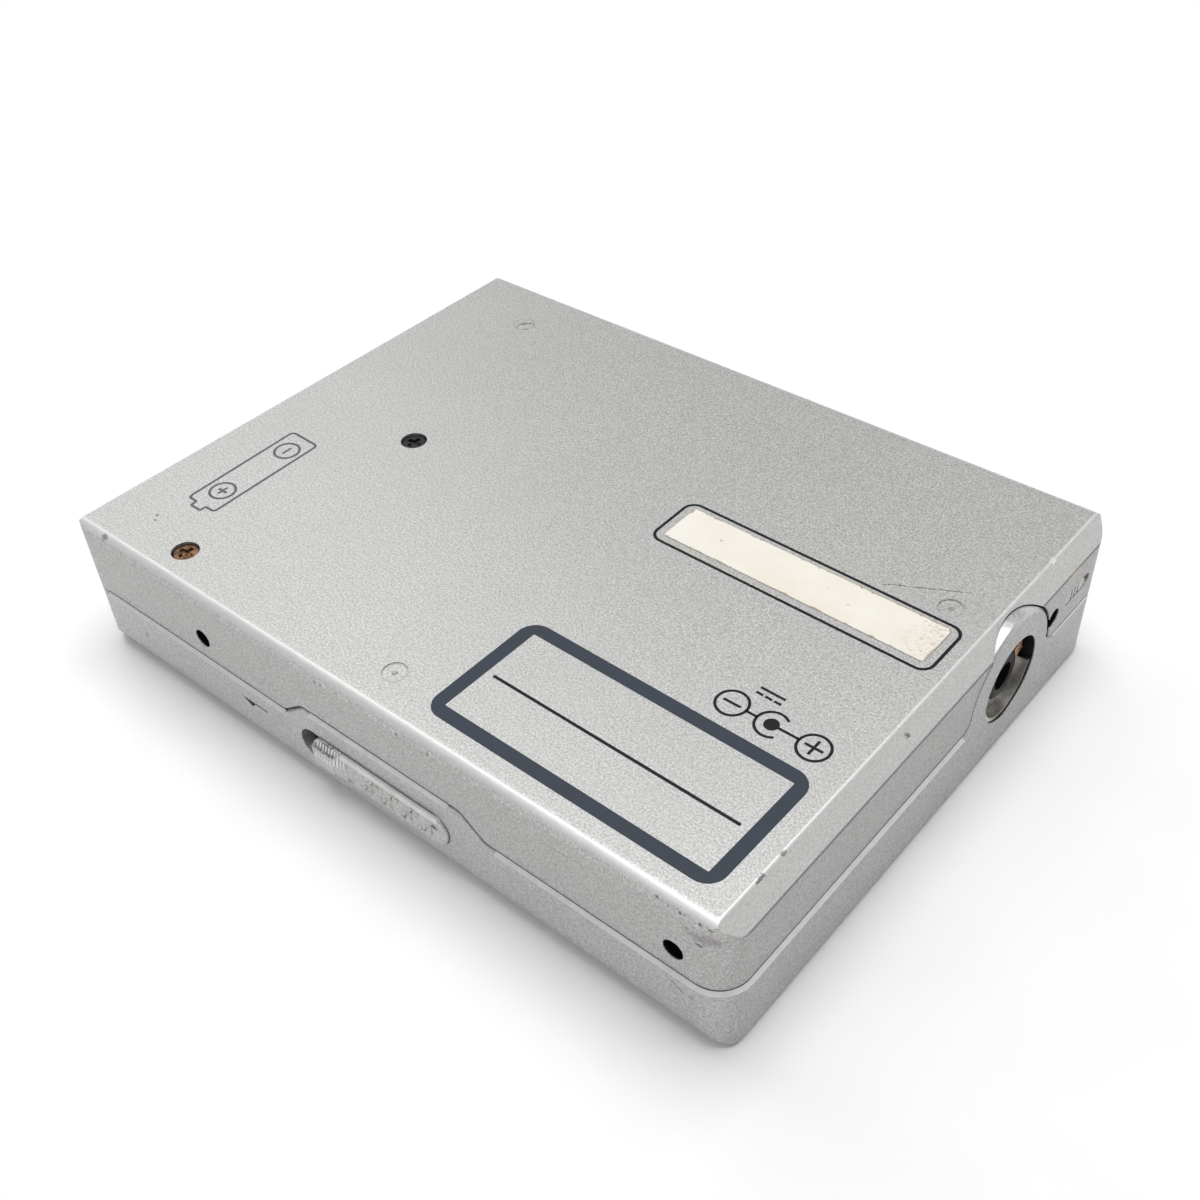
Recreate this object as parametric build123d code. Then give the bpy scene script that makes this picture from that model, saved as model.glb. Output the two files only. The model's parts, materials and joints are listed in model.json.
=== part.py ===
from build123d import *
import math
import os

# A portable minidisc player, lying on its lid with its underside up.
# The lid's outer face is on z = 0, +X is the headphone end, -Y the side with the opening slider.

# What the player takes: a disc cartridge and one round cell
cartridge_x = 72.0
cartridge_y = 68.0
cartridge_z = 5.0
cartridge_play = 0.4
cell_diameter = 14.5
cell_length = 50.5
cell_play = 0.9

# Clearances, and how far a cut reaches past a face
body_gap = 0.35
seat_gap = 0.1
run_gap = 0.05
press_gap = 0.01
overshoot = 1.0

# Outer form of the two shells
wall = 1.6
rib = 1.2
corner_radius = 3.8
seam_gap = 0.2
seam_bevel = 0.35
end_chamfer_run = 1.95
end_chamfer_drop = 2.55
tail_shoulder_radius = 2.4
long_edge_radius = 1.6
front_low_radius = 3.4
end_low_radius = 1.0
foot_gap = 0.3
floor_rib_height = 0.8
floor_rib_inset = 5.0

# Round gate marks in the underside
gate_mark_radius = 1.45
gate_mark_depth = 0.1
gate_nub_radius = 0.35

# Lid with its hinge along the back edge
hinge_radius = 2.35
hinge_relief = 0.3
hinge_pin_radius = 0.8
hinge_pin_hold = 6.0
hinge_pin_reach = 1.1
lid_plate = 1.5
lid_edge_radius = 0.4
lid_corner_radius = 1.2
lid_margin = 0.9
front_room = 2.5
end_room = 9.55

# Sheet metal holder on the lid
holder_sheet = 0.4
holder_flange = 2.6
holder_bend = 0.5
holder_lead_in = 4.0
holder_window_radius = 3.0
rivet_inset_x = 6.0
rivet_inset_y = 7.0
rivet_radius = 0.6
rivet_depth = 0.8
rivet_head_radius = 1.1
rivet_head_height = 0.35
leaf_sheet = 0.2
leaf_rise = 0.55
leaf_width = 3.0
leaf_inset = 3.2

# Battery bay at the -X end
bay_front = 4.2
bay_spring_room = 3.4
battery_cover_plate = 1.4
battery_cover_lip = 2.9
battery_cover_flange = 0.8
battery_cover_step = 1.5
grip_rib = 1.0
grip_rib_pitch = 2.2
grip_rib_depth = 0.3
grip_rib_count = 5
contact_plate_width = 8.0
contact_plate_height = 9.0
contact_strip = 0.4
button_radius = 2.2
button_proud = 0.6

# Opening slider in the front wall
slider_slot_x0 = -10.2
slider_slot_length = 24.5
slider_slot_height = 4.7
slider_travel = 2.2
slider_proud = 0.4
slider_edge_radius = 0.3
protrusion = 1.0
grip_inset = 0.5
grip_length = 5.5
grip_height = 2.7
grip_lead = 0.4
pip_radius = 0.5
pip_sink = 0.12
pip_lead = 3.7
pip_tail = 2.8
pip_row_shift = 1.3
pip_row_rise = 0.85
pip_count = 4
tongue_rise = 2.6
tongue_lead = 1.4
tongue_tail = 2.3
tongue_slope = 3.4
tongue_bend = 1.6

# Latch between the slider and the lid
latch_sheet = 0.7
latch_height = 1.9
latch_start = 4.0
latch_finger = 11.0
latch_finger_end = 5.0
latch_slit = 0.4
lug_width = 2.0
lug_height = 4.0
lug_grip = 0.4
hook_width = 1.8
hook_depth = 1.6
hook_nose = 0.7
hook_lip = 0.9
hook_drop = 1.1

# Headphone jack and its round boss in the +X wall
jack_inset = 23.1
jack_rise = 0.45
jack_hole_radius = 5.65
jack_bore_radius = 1.8
jack_bore_length = 7.5
jack_end_wall = 1.5
jack_collar_radius = 3.1
jack_collar_height = 1.0
jack_collar_edge = 0.2
jack_depth = 1.0
jack_body_width = 9.0
jack_body_edge = 0.6
sleeve_wall = 0.5
sleeve_floor = 0.3
sleeve_inset = 0.3
sleeve_drop = 0.9
strip_width = 1.8
strip_sheet = 0.4
strip_tilt = 22
boss_radius = 9.1
boss_shift = 0.3
boss_rise = 0.65
boss_bend = 1.6

# Hold switch in the +X wall
hold_inset = 7.8
hold_drop = 1.3
hold_slot_length = 6.2
hold_slot_height = 1.8
hold_travel = 1.0
hold_sink = 0.05
hold_groove = 0.3
hold_groove_pitch = 0.8
switch_length = 8.0
switch_depth = 3.3
switch_height = 2.0
switch_edge = 0.25
switch_step = 1.4

# Screws in the underside, the front and the +X end
screw_inset = 4.8
board_screw_inset = 5.3
front_screw_insets = (25.0, 6.4)
end_screw_inset = 13.6
side_screw_rise = 3.25
screw_head_radius = 1.65
screw_head_depth = 0.9
screw_head_height = 0.6
screw_shank_radius = 0.85
long_shank = 6.5
short_shank = 2.4
side_head_radius = 1.15
side_head_height = 0.7
side_shank = 1.9
post_radius = 2.2
board_post_radius = 1.5
tab_width = 3.2
tab_sheet = 1.4

# Power inlet in the -X wall
inlet_drop = 2.5
inlet_low = 3.4
inlet_hole_radius = 2.2
inlet_bore_radius = 2.1
inlet_pin_radius = 0.6
inlet_pin_inset = 1.0
inlet_depth = 9.3
inlet_end_wall = 1.5
inlet_width = 8.0
inlet_room = 1.9
inlet_edge = 0.5

# Control keys in the back wall
key_width = 7.0
play_key_width = 10.0
key_pitch = 10.75
key_height = 3.4
key_drop = 1.4
key_travel = 0.5
key_flange = 0.6
key_rim = 0.7
key_corner = 0.7
key_edge_radius = 0.35
key_switch_width = 4.4
key_switch_depth = 2.5
key_button_width = 1.8
key_button_height = 1.1
key_button_reach = 0.7

# Inner stack, from the holder up
shelf_room = 0.8
shelf = 1.0
shelf_side = 4.0
damper_foot = 0.9
damper_radius = 2.6
damper_waist = 1.6
damper_height = 2.7
damper_inset_x0 = 4.3
damper_inset_x1 = 9.2
damper_inset_y0 = 6.9
damper_inset_y1 = 7.4
damper_screw_radius = 1.9
damper_screw_head = 0.8
chassis_sheet = 0.8
chassis_lip = 1.0
chassis_corner = 2.4
chassis_gap = 1.6
drive_room = 5.2
board_sheet = 1.0
board_gap = 0.6
board_back_room = 2.2
head_room = 2.5
chip_height = 1.3
chip_edge = 0.2
capacitor_radius = 1.9
capacitor_height = 2.0
capacitor_pitch = 4.6
standoff_radius = 2.2

# Disc drive
motor_radius = 9.0
motor_height = 2.4
motor_edge = 0.5
motor_ear_radius = 2.0
motor_ear_reach = 1.0
motor_ear_sheet = 0.6
bearing_radius = 3.0
bearing_hole_radius = 3.2
bearing_proud = 0.2
shaft_radius = 0.75
shaft_tail = 0.4
turntable_radius = 8.4
turntable_flange = 0.9
turntable_edge = 0.4
turntable_notch = 0.7
hub_radius = 5.3
hub_depth = 1.6
hub_tip = 0.6
hub_taper = 1.6
sled_inner = 10.3
sled_length = 9.0
sled_width = 31.0
sled_height = 4.6
sled_shoulder = 1.6
sled_turret = 16.0
sled_turret_inset = 0.8
sled_edge = 0.6
sled_roof = 1.3
track_margin = 7.0
lens_reach = 15.0
lens_radius = 2.0
lens_height = 1.2
lens_proud = 0.4
lens_dish_radius = 1.3
lens_dish_depth = 0.5
lens_bulge_radius = 2.9
lens_travel = 0.3
rod_radius = 0.75
rod_inset = 2.9
rod_rise = 1.9
bracket = 1.0
bracket_half = 1.6
window_lap = 1.2
lead_screw_radius = 0.9
lead_screw_core = 0.54
lead_screw_rise = 3.0
lead_screw_reach = 1.5
lead_screw_turns = 8
lead_screw_tail = 2.0
arm_inset = 2.0
stepper_radius = 2.05
stepper_length = 11.0
stepper_edge = 0.4
stepper_foot = 3.2

# The inner stack, from the lid's face up
holder_z1 = lid_plate + 2 * holder_sheet + cartridge_z + cartridge_play / 2
shelf_z = holder_z1 + shelf_room
chassis_z = shelf_z + shelf + damper_foot
chassis_top = chassis_z + chassis_sheet
board_z = chassis_z + drive_room
board_top = board_z + board_sheet
bay_floor_z = foot_gap + wall + seat_gap + battery_cover_flange

# The case, as large as the cartridge, the cell and the stack need
length = (
    2 * wall + cell_diameter + cell_play + rib + body_gap + seat_gap
    + 2 * holder_sheet + cartridge_x + cartridge_play + end_room
)
disc_side = (
    wall + front_room + cartridge_y + cartridge_play + holder_sheet
    + seat_gap + 2 * hinge_radius + foot_gap
)
cell_side = 2 * wall + bay_front + cell_length + bay_spring_room + rib + inlet_width + 2 * inlet_room
width = max(disc_side, cell_side)
height = max(board_top + head_room, bay_floor_z + cell_diameter + cell_play) + wall
half_x = length / 2
half_y = width / 2
parting_height = height / 2
cover_floor_z = height - wall
inner_front_y = -half_y + wall
inner_back_y = half_y - wall
inner_end_x = half_x - wall

# Hinge, bay, lid and holder
pivot_y = half_y - hinge_radius - foot_gap
pivot_z = hinge_radius + foot_gap
bay_x0 = -half_x + wall
bay_x1 = bay_x0 + cell_diameter + cell_play
bay_y0 = inner_front_y + bay_front
bay_y1 = bay_y0 + cell_length + bay_spring_room
cell_z = (bay_floor_z + cover_floor_z) / 2
divider_x1 = bay_x1 + rib
lid_x0 = divider_x1 + body_gap
lid_x1 = inner_end_x - body_gap
holder_x0 = lid_x0 + seat_gap
holder_x1 = holder_x0 + cartridge_x + cartridge_play + 2 * holder_sheet
holder_y1 = pivot_y - hinge_radius - seat_gap
holder_y0 = holder_y1 - cartridge_y - cartridge_play - holder_sheet
holder_floor_z = lid_plate + holder_sheet
lid_y0 = holder_y0 - lid_margin
hook_height = holder_z1 - hook_drop
disc_x = (holder_x0 + holder_x1) / 2
disc_y = (holder_y0 + holder_y1) / 2

# Features of the outer walls
slider_slot_x1 = slider_slot_x0 + slider_slot_length
slider_slot_z = shelf_z - latch_height / 2 - body_gap
slider_length = slider_slot_length - slider_travel - 2 * seat_gap
slider_x1 = slider_slot_x1 - seat_gap
slider_x0 = slider_x1 - slider_length
slider_front = -half_y - slider_proud
grip_x = slider_x0 + grip_inset
pip_x0 = grip_x + grip_length + pip_lead
pip_pitch = (slider_x1 - pip_tail - pip_x0) / (pip_count - 1)
tongue_x0 = slider_slot_x0 + tongue_lead
tongue_x1 = slider_slot_x1 + tongue_tail
tongue_top = parting_height + tongue_rise
jack_y = half_y - jack_inset
jack_z = parting_height + jack_rise
boss_y = jack_y - boss_shift
boss_z = parting_height + boss_rise
jack_face_x = half_x - jack_depth
jack_front_x = jack_face_x - jack_collar_height
jack_back_x = jack_face_x - jack_bore_length - jack_end_wall
hold_y = half_y - hold_inset
hold_z = board_z - run_gap - hold_drop
hold_knob_length = hold_slot_length - hold_travel - 2 * seat_gap
inlet_x0 = bay_x0 + seat_gap
inlet_y = (bay_y1 + rib + inner_back_y) / 2
inlet_z = board_z - inlet_drop
key_z = board_z - key_drop
key_back_y = inner_back_y - seat_gap - key_flange

# Screws and dampers
screw_x = bay_x1 + rib - seam_gap
screw_y = -half_y + screw_inset
board_screw_x = divider_x1 + board_screw_inset
board_screw_y = disc_y - shelf / 2
front_screw_xs = (-half_x + front_screw_insets[0], half_x - front_screw_insets[1])
end_screw_y = half_y - end_screw_inset
side_screw_z = parting_height + side_screw_rise
tab_front_y = inner_front_y + seam_gap
tab_end_x = inner_end_x - seam_gap
damper_xs = (divider_x1 + damper_inset_x0, inner_end_x - damper_inset_x1)
damper_ys = (inner_front_y + damper_inset_y0, inner_back_y - damper_inset_y1)

# Circuit board outline
board_x0 = divider_x1 + board_gap / 2
board_x1 = inner_end_x - board_gap
board_y0 = tab_front_y + tab_sheet + board_gap
board_y1 = inner_back_y - board_back_room

# Drive
chassis_x0 = divider_x1 + chassis_gap
chassis_x1 = damper_xs[1] + damper_radius
chassis_y0 = damper_ys[0] - chassis_corner
chassis_y1 = damper_ys[1] + chassis_corner
turntable_top = chassis_z - body_gap - bearing_proud
hub_z = turntable_top - turntable_flange - hub_depth
sled_x1 = disc_x - sled_inner
sled_x0 = sled_x1 - sled_length
sled_travel = cartridge_x / 2 - track_margin - lens_reach
lens_x = disc_x - lens_reach
rod_spread = sled_width / 2 - rod_inset
lead_screw_spread = sled_width / 2 + lead_screw_reach
rod_z = chassis_z + rod_rise
sled_z0 = rod_z + sled_roof - sled_height
window_x0 = sled_x0 - sled_travel - body_gap
window_x1 = sled_x1 + window_lap
rod_x0 = chassis_x0 + seat_gap
rod_x1 = window_x1 + bracket - seat_gap
lead_screw_y = disc_y + lead_screw_spread
lead_screw_z = chassis_z + lead_screw_rise

KEY_NAMES = (
    "skip_back_key", "skip_forward_key", "play_key",
    "stop_key", "volume_down_key", "volume_up_key",
)


def block(x0, x1, y0, y1, z0, z1):
    """A box between two corners."""
    centre = Pos((x0 + x1) / 2, (y0 + y1) / 2, (z0 + z1) / 2)
    return centre * Box(x1 - x0, y1 - y0, z1 - z0)


def rod_along_x(x0, x1, y, z, radius):
    return Pos((x0 + x1) / 2, y, z) * Rot(0, 90, 0) * Cylinder(radius, x1 - x0)


def rod_along_y(x, y0, y1, z, radius):
    return Pos(x, (y0 + y1) / 2, z) * Rot(90, 0, 0) * Cylinder(radius, y1 - y0)


def rod_along_z(x, y, z0, z1, radius):
    return Pos(x, y, (z0 + z1) / 2) * Cylinder(radius, z1 - z0)


def through_y(face, y0, y1):
    """Extrudes a face drawn in X and Z from y0 to y1."""
    return extrude(Plane.XZ.offset(-y1) * face, y1 - y0)


def through_x(face, x0, x1):
    """Extrudes a face drawn in Y and Z from x0 to x1."""
    return extrude(Plane.YZ.offset(x0) * face, x1 - x0)


def outline(*points):
    return make_face(Polyline(*points, close=True))


def rounded_corners(face, pick, radius):
    """Rounds the corners of a flat face that pick accepts, if there is a radius."""
    if radius <= 0:
        return face
    return fillet([corner for corner in face.vertices() if pick(corner)], radius)


def envelope(inset):
    """The player's outer form, or the same form moved in by a wall."""
    side_x = half_x - inset
    side_y = half_y - inset
    low = foot_gap + inset
    high = height - inset
    slope = math.hypot(end_chamfer_run, end_chamfer_drop)
    shoulder = height - end_chamfer_drop - inset * (slope - end_chamfer_drop) / end_chamfer_run
    top_x = half_x - end_chamfer_run - inset * (slope - end_chamfer_run) / end_chamfer_drop
    plan = extrude(RectangleRounded(2 * side_x, 2 * side_y, corner_radius - inset), height)
    ends = outline(
        (-side_x, low), (side_x, low), (side_x, shoulder),
        (top_x, high), (-top_x, high), (-side_x, shoulder),
    )
    ends = rounded_corners(ends, lambda v: v.Y < low + press_gap, end_low_radius - inset)
    tail_shoulder = lambda v: v.X < press_gap - side_x and abs(v.Y - shoulder) < press_gap
    ends = rounded_corners(ends, tail_shoulder, tail_shoulder_radius - inset)
    sides = outline((-side_y, low), (side_y, low), (side_y, high), (-side_y, high))
    sides = rounded_corners(sides, lambda v: v.Y > high - press_gap, long_edge_radius - inset)
    front_foot = lambda v: v.Y < low + press_gap and v.X < 0
    sides = rounded_corners(sides, front_foot, front_low_radius - inset)
    back_foot = lambda v: v.Y < low + press_gap and v.X > side_y - press_gap
    sides = rounded_corners(sides, back_foot, hinge_radius - inset)
    return plan & through_y(ends, -width, width) & through_x(sides, -length, length)


def front_skirt():
    """The frame's front edge, which rises in a tongue above the opening slider."""
    low = parting_height - 2 * wall
    face = outline(
        (-length, low), (length, low), (length, parting_height),
        (tongue_x1 + tongue_slope, parting_height), (tongue_x1, tongue_top),
        (tongue_x0, tongue_top), (tongue_x0 - tongue_slope, parting_height),
        (-length, parting_height),
    )
    return rounded_corners(face, lambda v: abs(v.X) < half_x and v.Y > low + press_gap, tongue_bend)


def end_skirt():
    """The frame's +X edge, which rises round the headphone jack."""
    depth = 2 * wall
    strip = Pos(boss_y, parting_height - depth / 2) * Rectangle(2 * width, depth)
    face = strip + Pos(boss_y, boss_z) * Circle(boss_radius)
    reach = boss_radius + press_gap
    return rounded_corners(
        face, lambda v: abs(v.Y - parting_height) < press_gap and abs(v.X - boss_y) < reach, boss_bend
    )


def edge_distance(point):
    """How far a point lies outside the plan outline of the shells."""
    over_x = abs(point.X) - half_x + corner_radius
    over_y = abs(point.Y) - half_y + corner_radius
    outside = math.hypot(max(over_x, 0), max(over_y, 0))
    return outside + min(max(over_x, over_y), 0) - corner_radius


def seam_edges(shell):
    """The outer edges along the top of the frame's wall."""
    rim = parting_height - seam_gap / 2 - press_gap
    found = []
    for edge in shell.edges():
        points = [edge @ t for t in (0, 0.5, 1)]
        if all(p.Z > rim and abs(edge_distance(p)) < press_gap / 10 for p in points):
            found.append(edge)
    return found


def cross_recess(radius, depth):
    """A cross recess for a screw head that faces up."""
    arm = radius * 0.4
    reach = radius * 1.25
    return Box(arm, reach, 2 * depth) + Box(reach, arm, 2 * depth)


def screw(head_radius, head_height, shank_length):
    """A pan head screw along Z, with the head's underside at z = 0."""
    head = Pos(0, 0, head_height / 2) * Cylinder(head_radius, head_height)
    head = fillet(head.edges().group_by(Axis.Z)[-1], head_height * 0.4)
    head -= Pos(0, 0, head_height) * cross_recess(head_radius, head_height * 0.6)
    return head + Pos(0, 0, -shank_length / 2) * Cylinder(screw_shank_radius, shank_length)


def cover_screw_places():
    """The two screws seen in the underside."""
    return ((screw_x, screw_y), (board_screw_x, board_screw_y))


def gate_mark_places():
    """Three round marks left by the moulding of the underside."""
    return (
        (bay_x1 - rib, pivot_y - 3 * hinge_radius),
        (disc_x - 1.5, inner_front_y + bay_front),
        (inner_end_x - 3.4 * wall, jack_y - 2.5 * gate_mark_radius),
    )


def board_post_places():
    """Two posts on the +X shelves that hold the board up."""
    return (
        (inner_end_x - 2 * board_post_radius, damper_ys[0]),
        (damper_xs[1] - 3 * board_post_radius, inner_back_y - bay_spring_room),
    )


def damper_places():
    return [(x, y) for x in damper_xs for y in damper_ys]


def rivet_places():
    return [
        (x, y)
        for x in (holder_x0 + rivet_inset_x, holder_x1 - rivet_inset_x)
        for y in (holder_y0 + rivet_inset_y, holder_y1 - rivet_inset_y)
    ]


def key_x(n):
    """The keys stand in one row, centred on the disc."""
    return disc_x + (n - (len(KEY_NAMES) - 1) / 2) * key_pitch


def key_size(n):
    return play_key_width if KEY_NAMES[n] == "play_key" else key_width


def bottom_cover():
    shell = envelope(0) - envelope(wall)
    shell &= block(-length, length, -width, width, parting_height + seam_gap / 2, 2 * height)
    skirt = offset(front_skirt(), seam_gap / 2)
    shell -= through_y(skirt, -half_y - wall, inner_front_y + seam_gap)
    skirt = offset(end_skirt(), seam_gap / 2)
    shell -= through_x(skirt, inner_end_x - seam_gap, half_x + wall)
    # Counterbored holes for the underside screws
    for x, y in cover_screw_places():
        shell -= rod_along_z(x, y, height - screw_head_depth, 2 * height, screw_head_radius + seat_gap)
        shell -= rod_along_z(x, y, 0, 2 * height, screw_shank_radius + seat_gap)
    # Plain holes for the side screws
    for x in front_screw_xs:
        shell -= rod_along_y(x, -width, 0, side_screw_z, side_head_radius + seat_gap)
    shell -= rod_along_x(0, length, end_screw_y, side_screw_z, side_head_radius + seat_gap)
    # Slot for the hold switch, hole for the power inlet, openings for the keys
    slot = Pos(hold_y, hold_z) * SlotOverall(hold_slot_length, hold_slot_height)
    shell -= through_x(slot, 0, length)
    shell -= rod_along_x(-length, bay_x0 + wall, inlet_y, inlet_z, inlet_hole_radius)
    for n in range(len(KEY_NAMES)):
        opening = RectangleRounded(key_size(n) + body_gap, key_height + body_gap, key_corner + seat_gap)
        shell -= through_y(Pos(key_x(n), key_z) * opening, 0, width)
    # Stiffening ribs inside the floor
    rib_low = cover_floor_z - floor_rib_height
    for x in (-half_x / 3, half_x / 3):
        y0, y1 = inner_front_y + floor_rib_inset, inner_back_y - floor_rib_inset
        shell += block(x, x + rib, y0, y1, rib_low, cover_floor_z)
    # Shallow round marks with a nub in the middle
    for x, y in gate_mark_places():
        dish = rod_along_z(x, y, height - gate_mark_depth, 2 * height, gate_mark_radius)
        shell -= dish - rod_along_z(x, y, 0, height - gate_mark_depth / 3, gate_nub_radius)
    return shell


def frame_walls():
    shell = envelope(0) - envelope(wall)
    shell &= block(-length, length, -width, width, 0, parting_height - seam_gap / 2)
    tongue = through_y(offset(front_skirt(), -seam_gap / 2), -half_y, inner_front_y)
    shell += tongue & envelope(0)
    boss = through_x(offset(end_skirt(), -seam_gap / 2), inner_end_x, half_x)
    shell += boss & block(0, length, -half_y + corner_radius, half_y - corner_radius, 0, height)
    return chamfer(seam_edges(shell), seam_bevel)


def lid_opening():
    """What the frame leaves free for the lid and its hinge barrel."""
    x0 = lid_x0 - body_gap
    back = half_y + overshoot
    opening = block(x0, inner_end_x, lid_y0 - body_gap, back, 0, foot_gap + wall)
    opening += block(x0, inner_end_x, pivot_y, back, 0, pivot_z)
    swing = hinge_radius + body_gap + hinge_relief
    return opening + rod_along_x(x0, inner_end_x, pivot_y, pivot_z, swing)


def frame_bay(low):
    """Divider between the disc well and the battery bay, and the bay's end ribs."""
    bay = block(bay_x1, divider_x1, inner_front_y, inner_back_y, low, board_z)
    bay += block(bay_x1, divider_x1, -half_y, half_y, foot_gap, low) & envelope(0)
    for y in (bay_y0 - rib, bay_y1):
        bay += block(bay_x0, bay_x1, y, y + rib, low, board_z)
    return bay


def frame_shelves():
    """Corner shelves that carry the drive, and the posts for the circuit board."""
    shelves = []
    for x0, x1 in (
        (divider_x1, damper_xs[0] + shelf_side),
        (damper_xs[1] - 2 * damper_radius - overshoot, inner_end_x),
    ):
        for y0, y1 in ((inner_front_y, damper_ys[0] + shelf_side), (damper_ys[1] - shelf_side, inner_back_y)):
            shelves.append(block(x0, x1, y0, y1, shelf_z, shelf_z + shelf))
    for x, y in board_post_places():
        shelves.append(rod_along_z(x, y, shelf_z, board_z, board_post_radius))
    return shelves


def frame_tabs():
    """The post and the tabs that the cover's screws go into."""
    seam = parting_height - seam_gap / 2
    tab_top = side_screw_z + tab_width / 2
    post_top = cover_floor_z - seat_gap
    tabs = [rod_along_z(screw_x, screw_y, shelf_z, post_top, post_radius)]
    tabs.append(block(bay_x1, divider_x1, inner_front_y, screw_y, shelf_z, post_top - tab_sheet))
    for x in front_screw_xs:
        x0, x1 = x - tab_width / 2, x + tab_width / 2
        y1 = tab_front_y + tab_sheet
        tabs.append(block(x0, x1, inner_front_y, y1, shelf_z, seam))
        tabs.append(block(x0, x1, tab_front_y, y1, shelf_z, tab_top))
    y0, y1 = end_screw_y - tab_width / 2, end_screw_y + tab_width / 2
    tabs.append(block(tab_end_x - tab_sheet, inner_end_x, y0, y1, shelf_z, seam))
    tabs.append(block(tab_end_x - tab_sheet, tab_end_x, y0, y1, shelf_z, tab_top))
    return tabs


def cabinet_frame():
    frame = frame_walls() - lid_opening()
    bay_low = foot_gap + battery_cover_lip + body_gap
    frame += frame_bay(bay_low)
    # Slots for the sliding battery cover: narrow in the face, wide through the end wall
    x0 = -half_x - overshoot
    narrow, wide = body_gap, rib + body_gap
    frame -= block(x0, bay_x1, bay_y0 - narrow, bay_y1 + narrow, 0, foot_gap + wall + press_gap)
    frame -= block(x0, bay_x0, bay_y0 - wide, bay_y1 + wide, 0, bay_low)
    for piece in frame_shelves() + frame_tabs():
        frame += piece
    # Screw holes
    thread = screw_shank_radius + run_gap
    for x, y in damper_places():
        frame -= rod_along_z(x, y, 0, height, thread)
    for x in front_screw_xs:
        frame -= rod_along_y(x, -half_y, tab_front_y + tab_sheet + overshoot, side_screw_z, thread)
    frame -= rod_along_x(0, half_x, end_screw_y, side_screw_z, thread)
    frame -= rod_along_z(screw_x, screw_y, shelf_z + shelf, height, thread)
    # Hinge pin seats, slider slot and the round hole for the headphone jack
    pin_seat = hinge_pin_radius + run_gap
    frame -= rod_along_x(bay_x1, lid_x0, pivot_y, pivot_z, pin_seat)
    seat_end = inner_end_x + hinge_pin_reach + seat_gap
    frame -= rod_along_x(inner_end_x - overshoot, seat_end, pivot_y, pivot_z, pin_seat)
    slot = SlotOverall(slider_slot_length, slider_slot_height)
    slot = Pos((slider_slot_x0 + slider_slot_x1) / 2, slider_slot_z) * slot
    frame -= through_y(slot, -width, inner_front_y + press_gap)
    frame -= rod_along_x(inner_end_x - overshoot, length, jack_y, jack_z, jack_hole_radius)
    return frame


def lid():
    """The disc lid: a flat plate with a rolled back edge that turns on the hinge pins."""
    plate = block(lid_x0, lid_x1, lid_y0, pivot_y, 0, lid_plate)
    plate = fillet(plate.edges().filter_by(Axis.Z).group_by(Axis.Y)[0], lid_corner_radius)
    plate = fillet(plate.faces().sort_by(Axis.Z)[0].edges(), lid_edge_radius)
    body = plate + rod_along_x(lid_x0, lid_x1, pivot_y, pivot_z, hinge_radius)
    body += block(lid_x0, lid_x1, pivot_y - hinge_radius, pivot_y, lid_edge_radius, pivot_z)
    # Hook at the front corner, beside the cartridge's way in
    hook_x0 = holder_x1 + body_gap
    post_y = lid_y0 + hook_nose + seat_gap
    low = lid_plate - seat_gap
    nose_y = post_y - hook_nose
    profile = outline(
        (post_y, low), (post_y + hook_depth, low),
        (post_y + hook_depth * 0.75, hook_height), (nose_y, hook_height),
        (nose_y, hook_height - hook_lip), (post_y, hook_height - hook_lip - hook_nose),
    )
    body += through_x(profile, hook_x0, hook_x0 + hook_width)
    # Bores for the hinge pins, and holes for the holder's rivets
    bore = hinge_pin_radius + press_gap
    for x0, x1 in ((lid_x0, lid_x0 + hinge_pin_hold), (lid_x1 - hinge_pin_hold, lid_x1)):
        body -= rod_along_x(x0, x1, pivot_y, pivot_z, bore)
    for x, y in rivet_places():
        body -= rod_along_z(x, y, lid_plate - rivet_depth, lid_plate + overshoot, rivet_radius + press_gap)
    return body


def hinge_pins():
    left = rod_along_x(bay_x1 + seat_gap, lid_x0 + hinge_pin_hold, pivot_y, pivot_z, hinge_pin_radius)
    far = inner_end_x + hinge_pin_reach
    right = rod_along_x(lid_x1 - hinge_pin_hold, far, pivot_y, pivot_z, hinge_pin_radius)
    return Compound(children=[left, right])


def disc_holder():
    """A folded sheet tray, open at the front, that guides the cartridge by its sides."""
    inner_x0, inner_x1 = holder_x0 + holder_sheet, holder_x1 - holder_sheet
    roof_z = holder_z1 - holder_sheet
    tray = block(holder_x0, holder_x1, holder_y0, holder_y1, lid_plate, holder_z1)
    tray = fillet(tray.edges().filter_by(Axis.Y).group_by(Axis.Z)[-1], holder_bend)
    tray -= block(inner_x0, inner_x1, -width, holder_y1 - holder_sheet, holder_floor_z, roof_z)
    # The side towards the drive is open between the two flanges
    tray -= block(
        inner_x0 + holder_flange, inner_x1 - holder_flange, -width, width,
        holder_floor_z + cartridge_z / 2, 2 * height,
    )
    # Lightening windows in the floor and lead-in notches at the mouth
    for x in (disc_x - cartridge_x / 5, disc_x + cartridge_x / 5):
        window = RectangleRounded(cartridge_x / 5, cartridge_y / 2, holder_window_radius)
        tray -= Pos(x, disc_y) * extrude(window, height)
    for x in (inner_x0, inner_x1):
        notch = Box(holder_lead_in, holder_lead_in, 3 * holder_sheet)
        tray -= Pos(x, holder_y0, holder_z1) * Rot(0, 0, 45) * notch
    for x, y in rivet_places():
        tray -= rod_along_z(x, y, 0, height, rivet_radius + press_gap)
    return tray


def holder_rivets():
    rivets = []
    for x, y in rivet_places():
        head = rod_along_z(x, y, holder_floor_z, holder_floor_z + rivet_head_height, rivet_head_radius)
        rivets.append(head + rod_along_z(x, y, lid_plate - rivet_depth, holder_floor_z, rivet_radius))
    return Compound(children=rivets)


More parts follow.
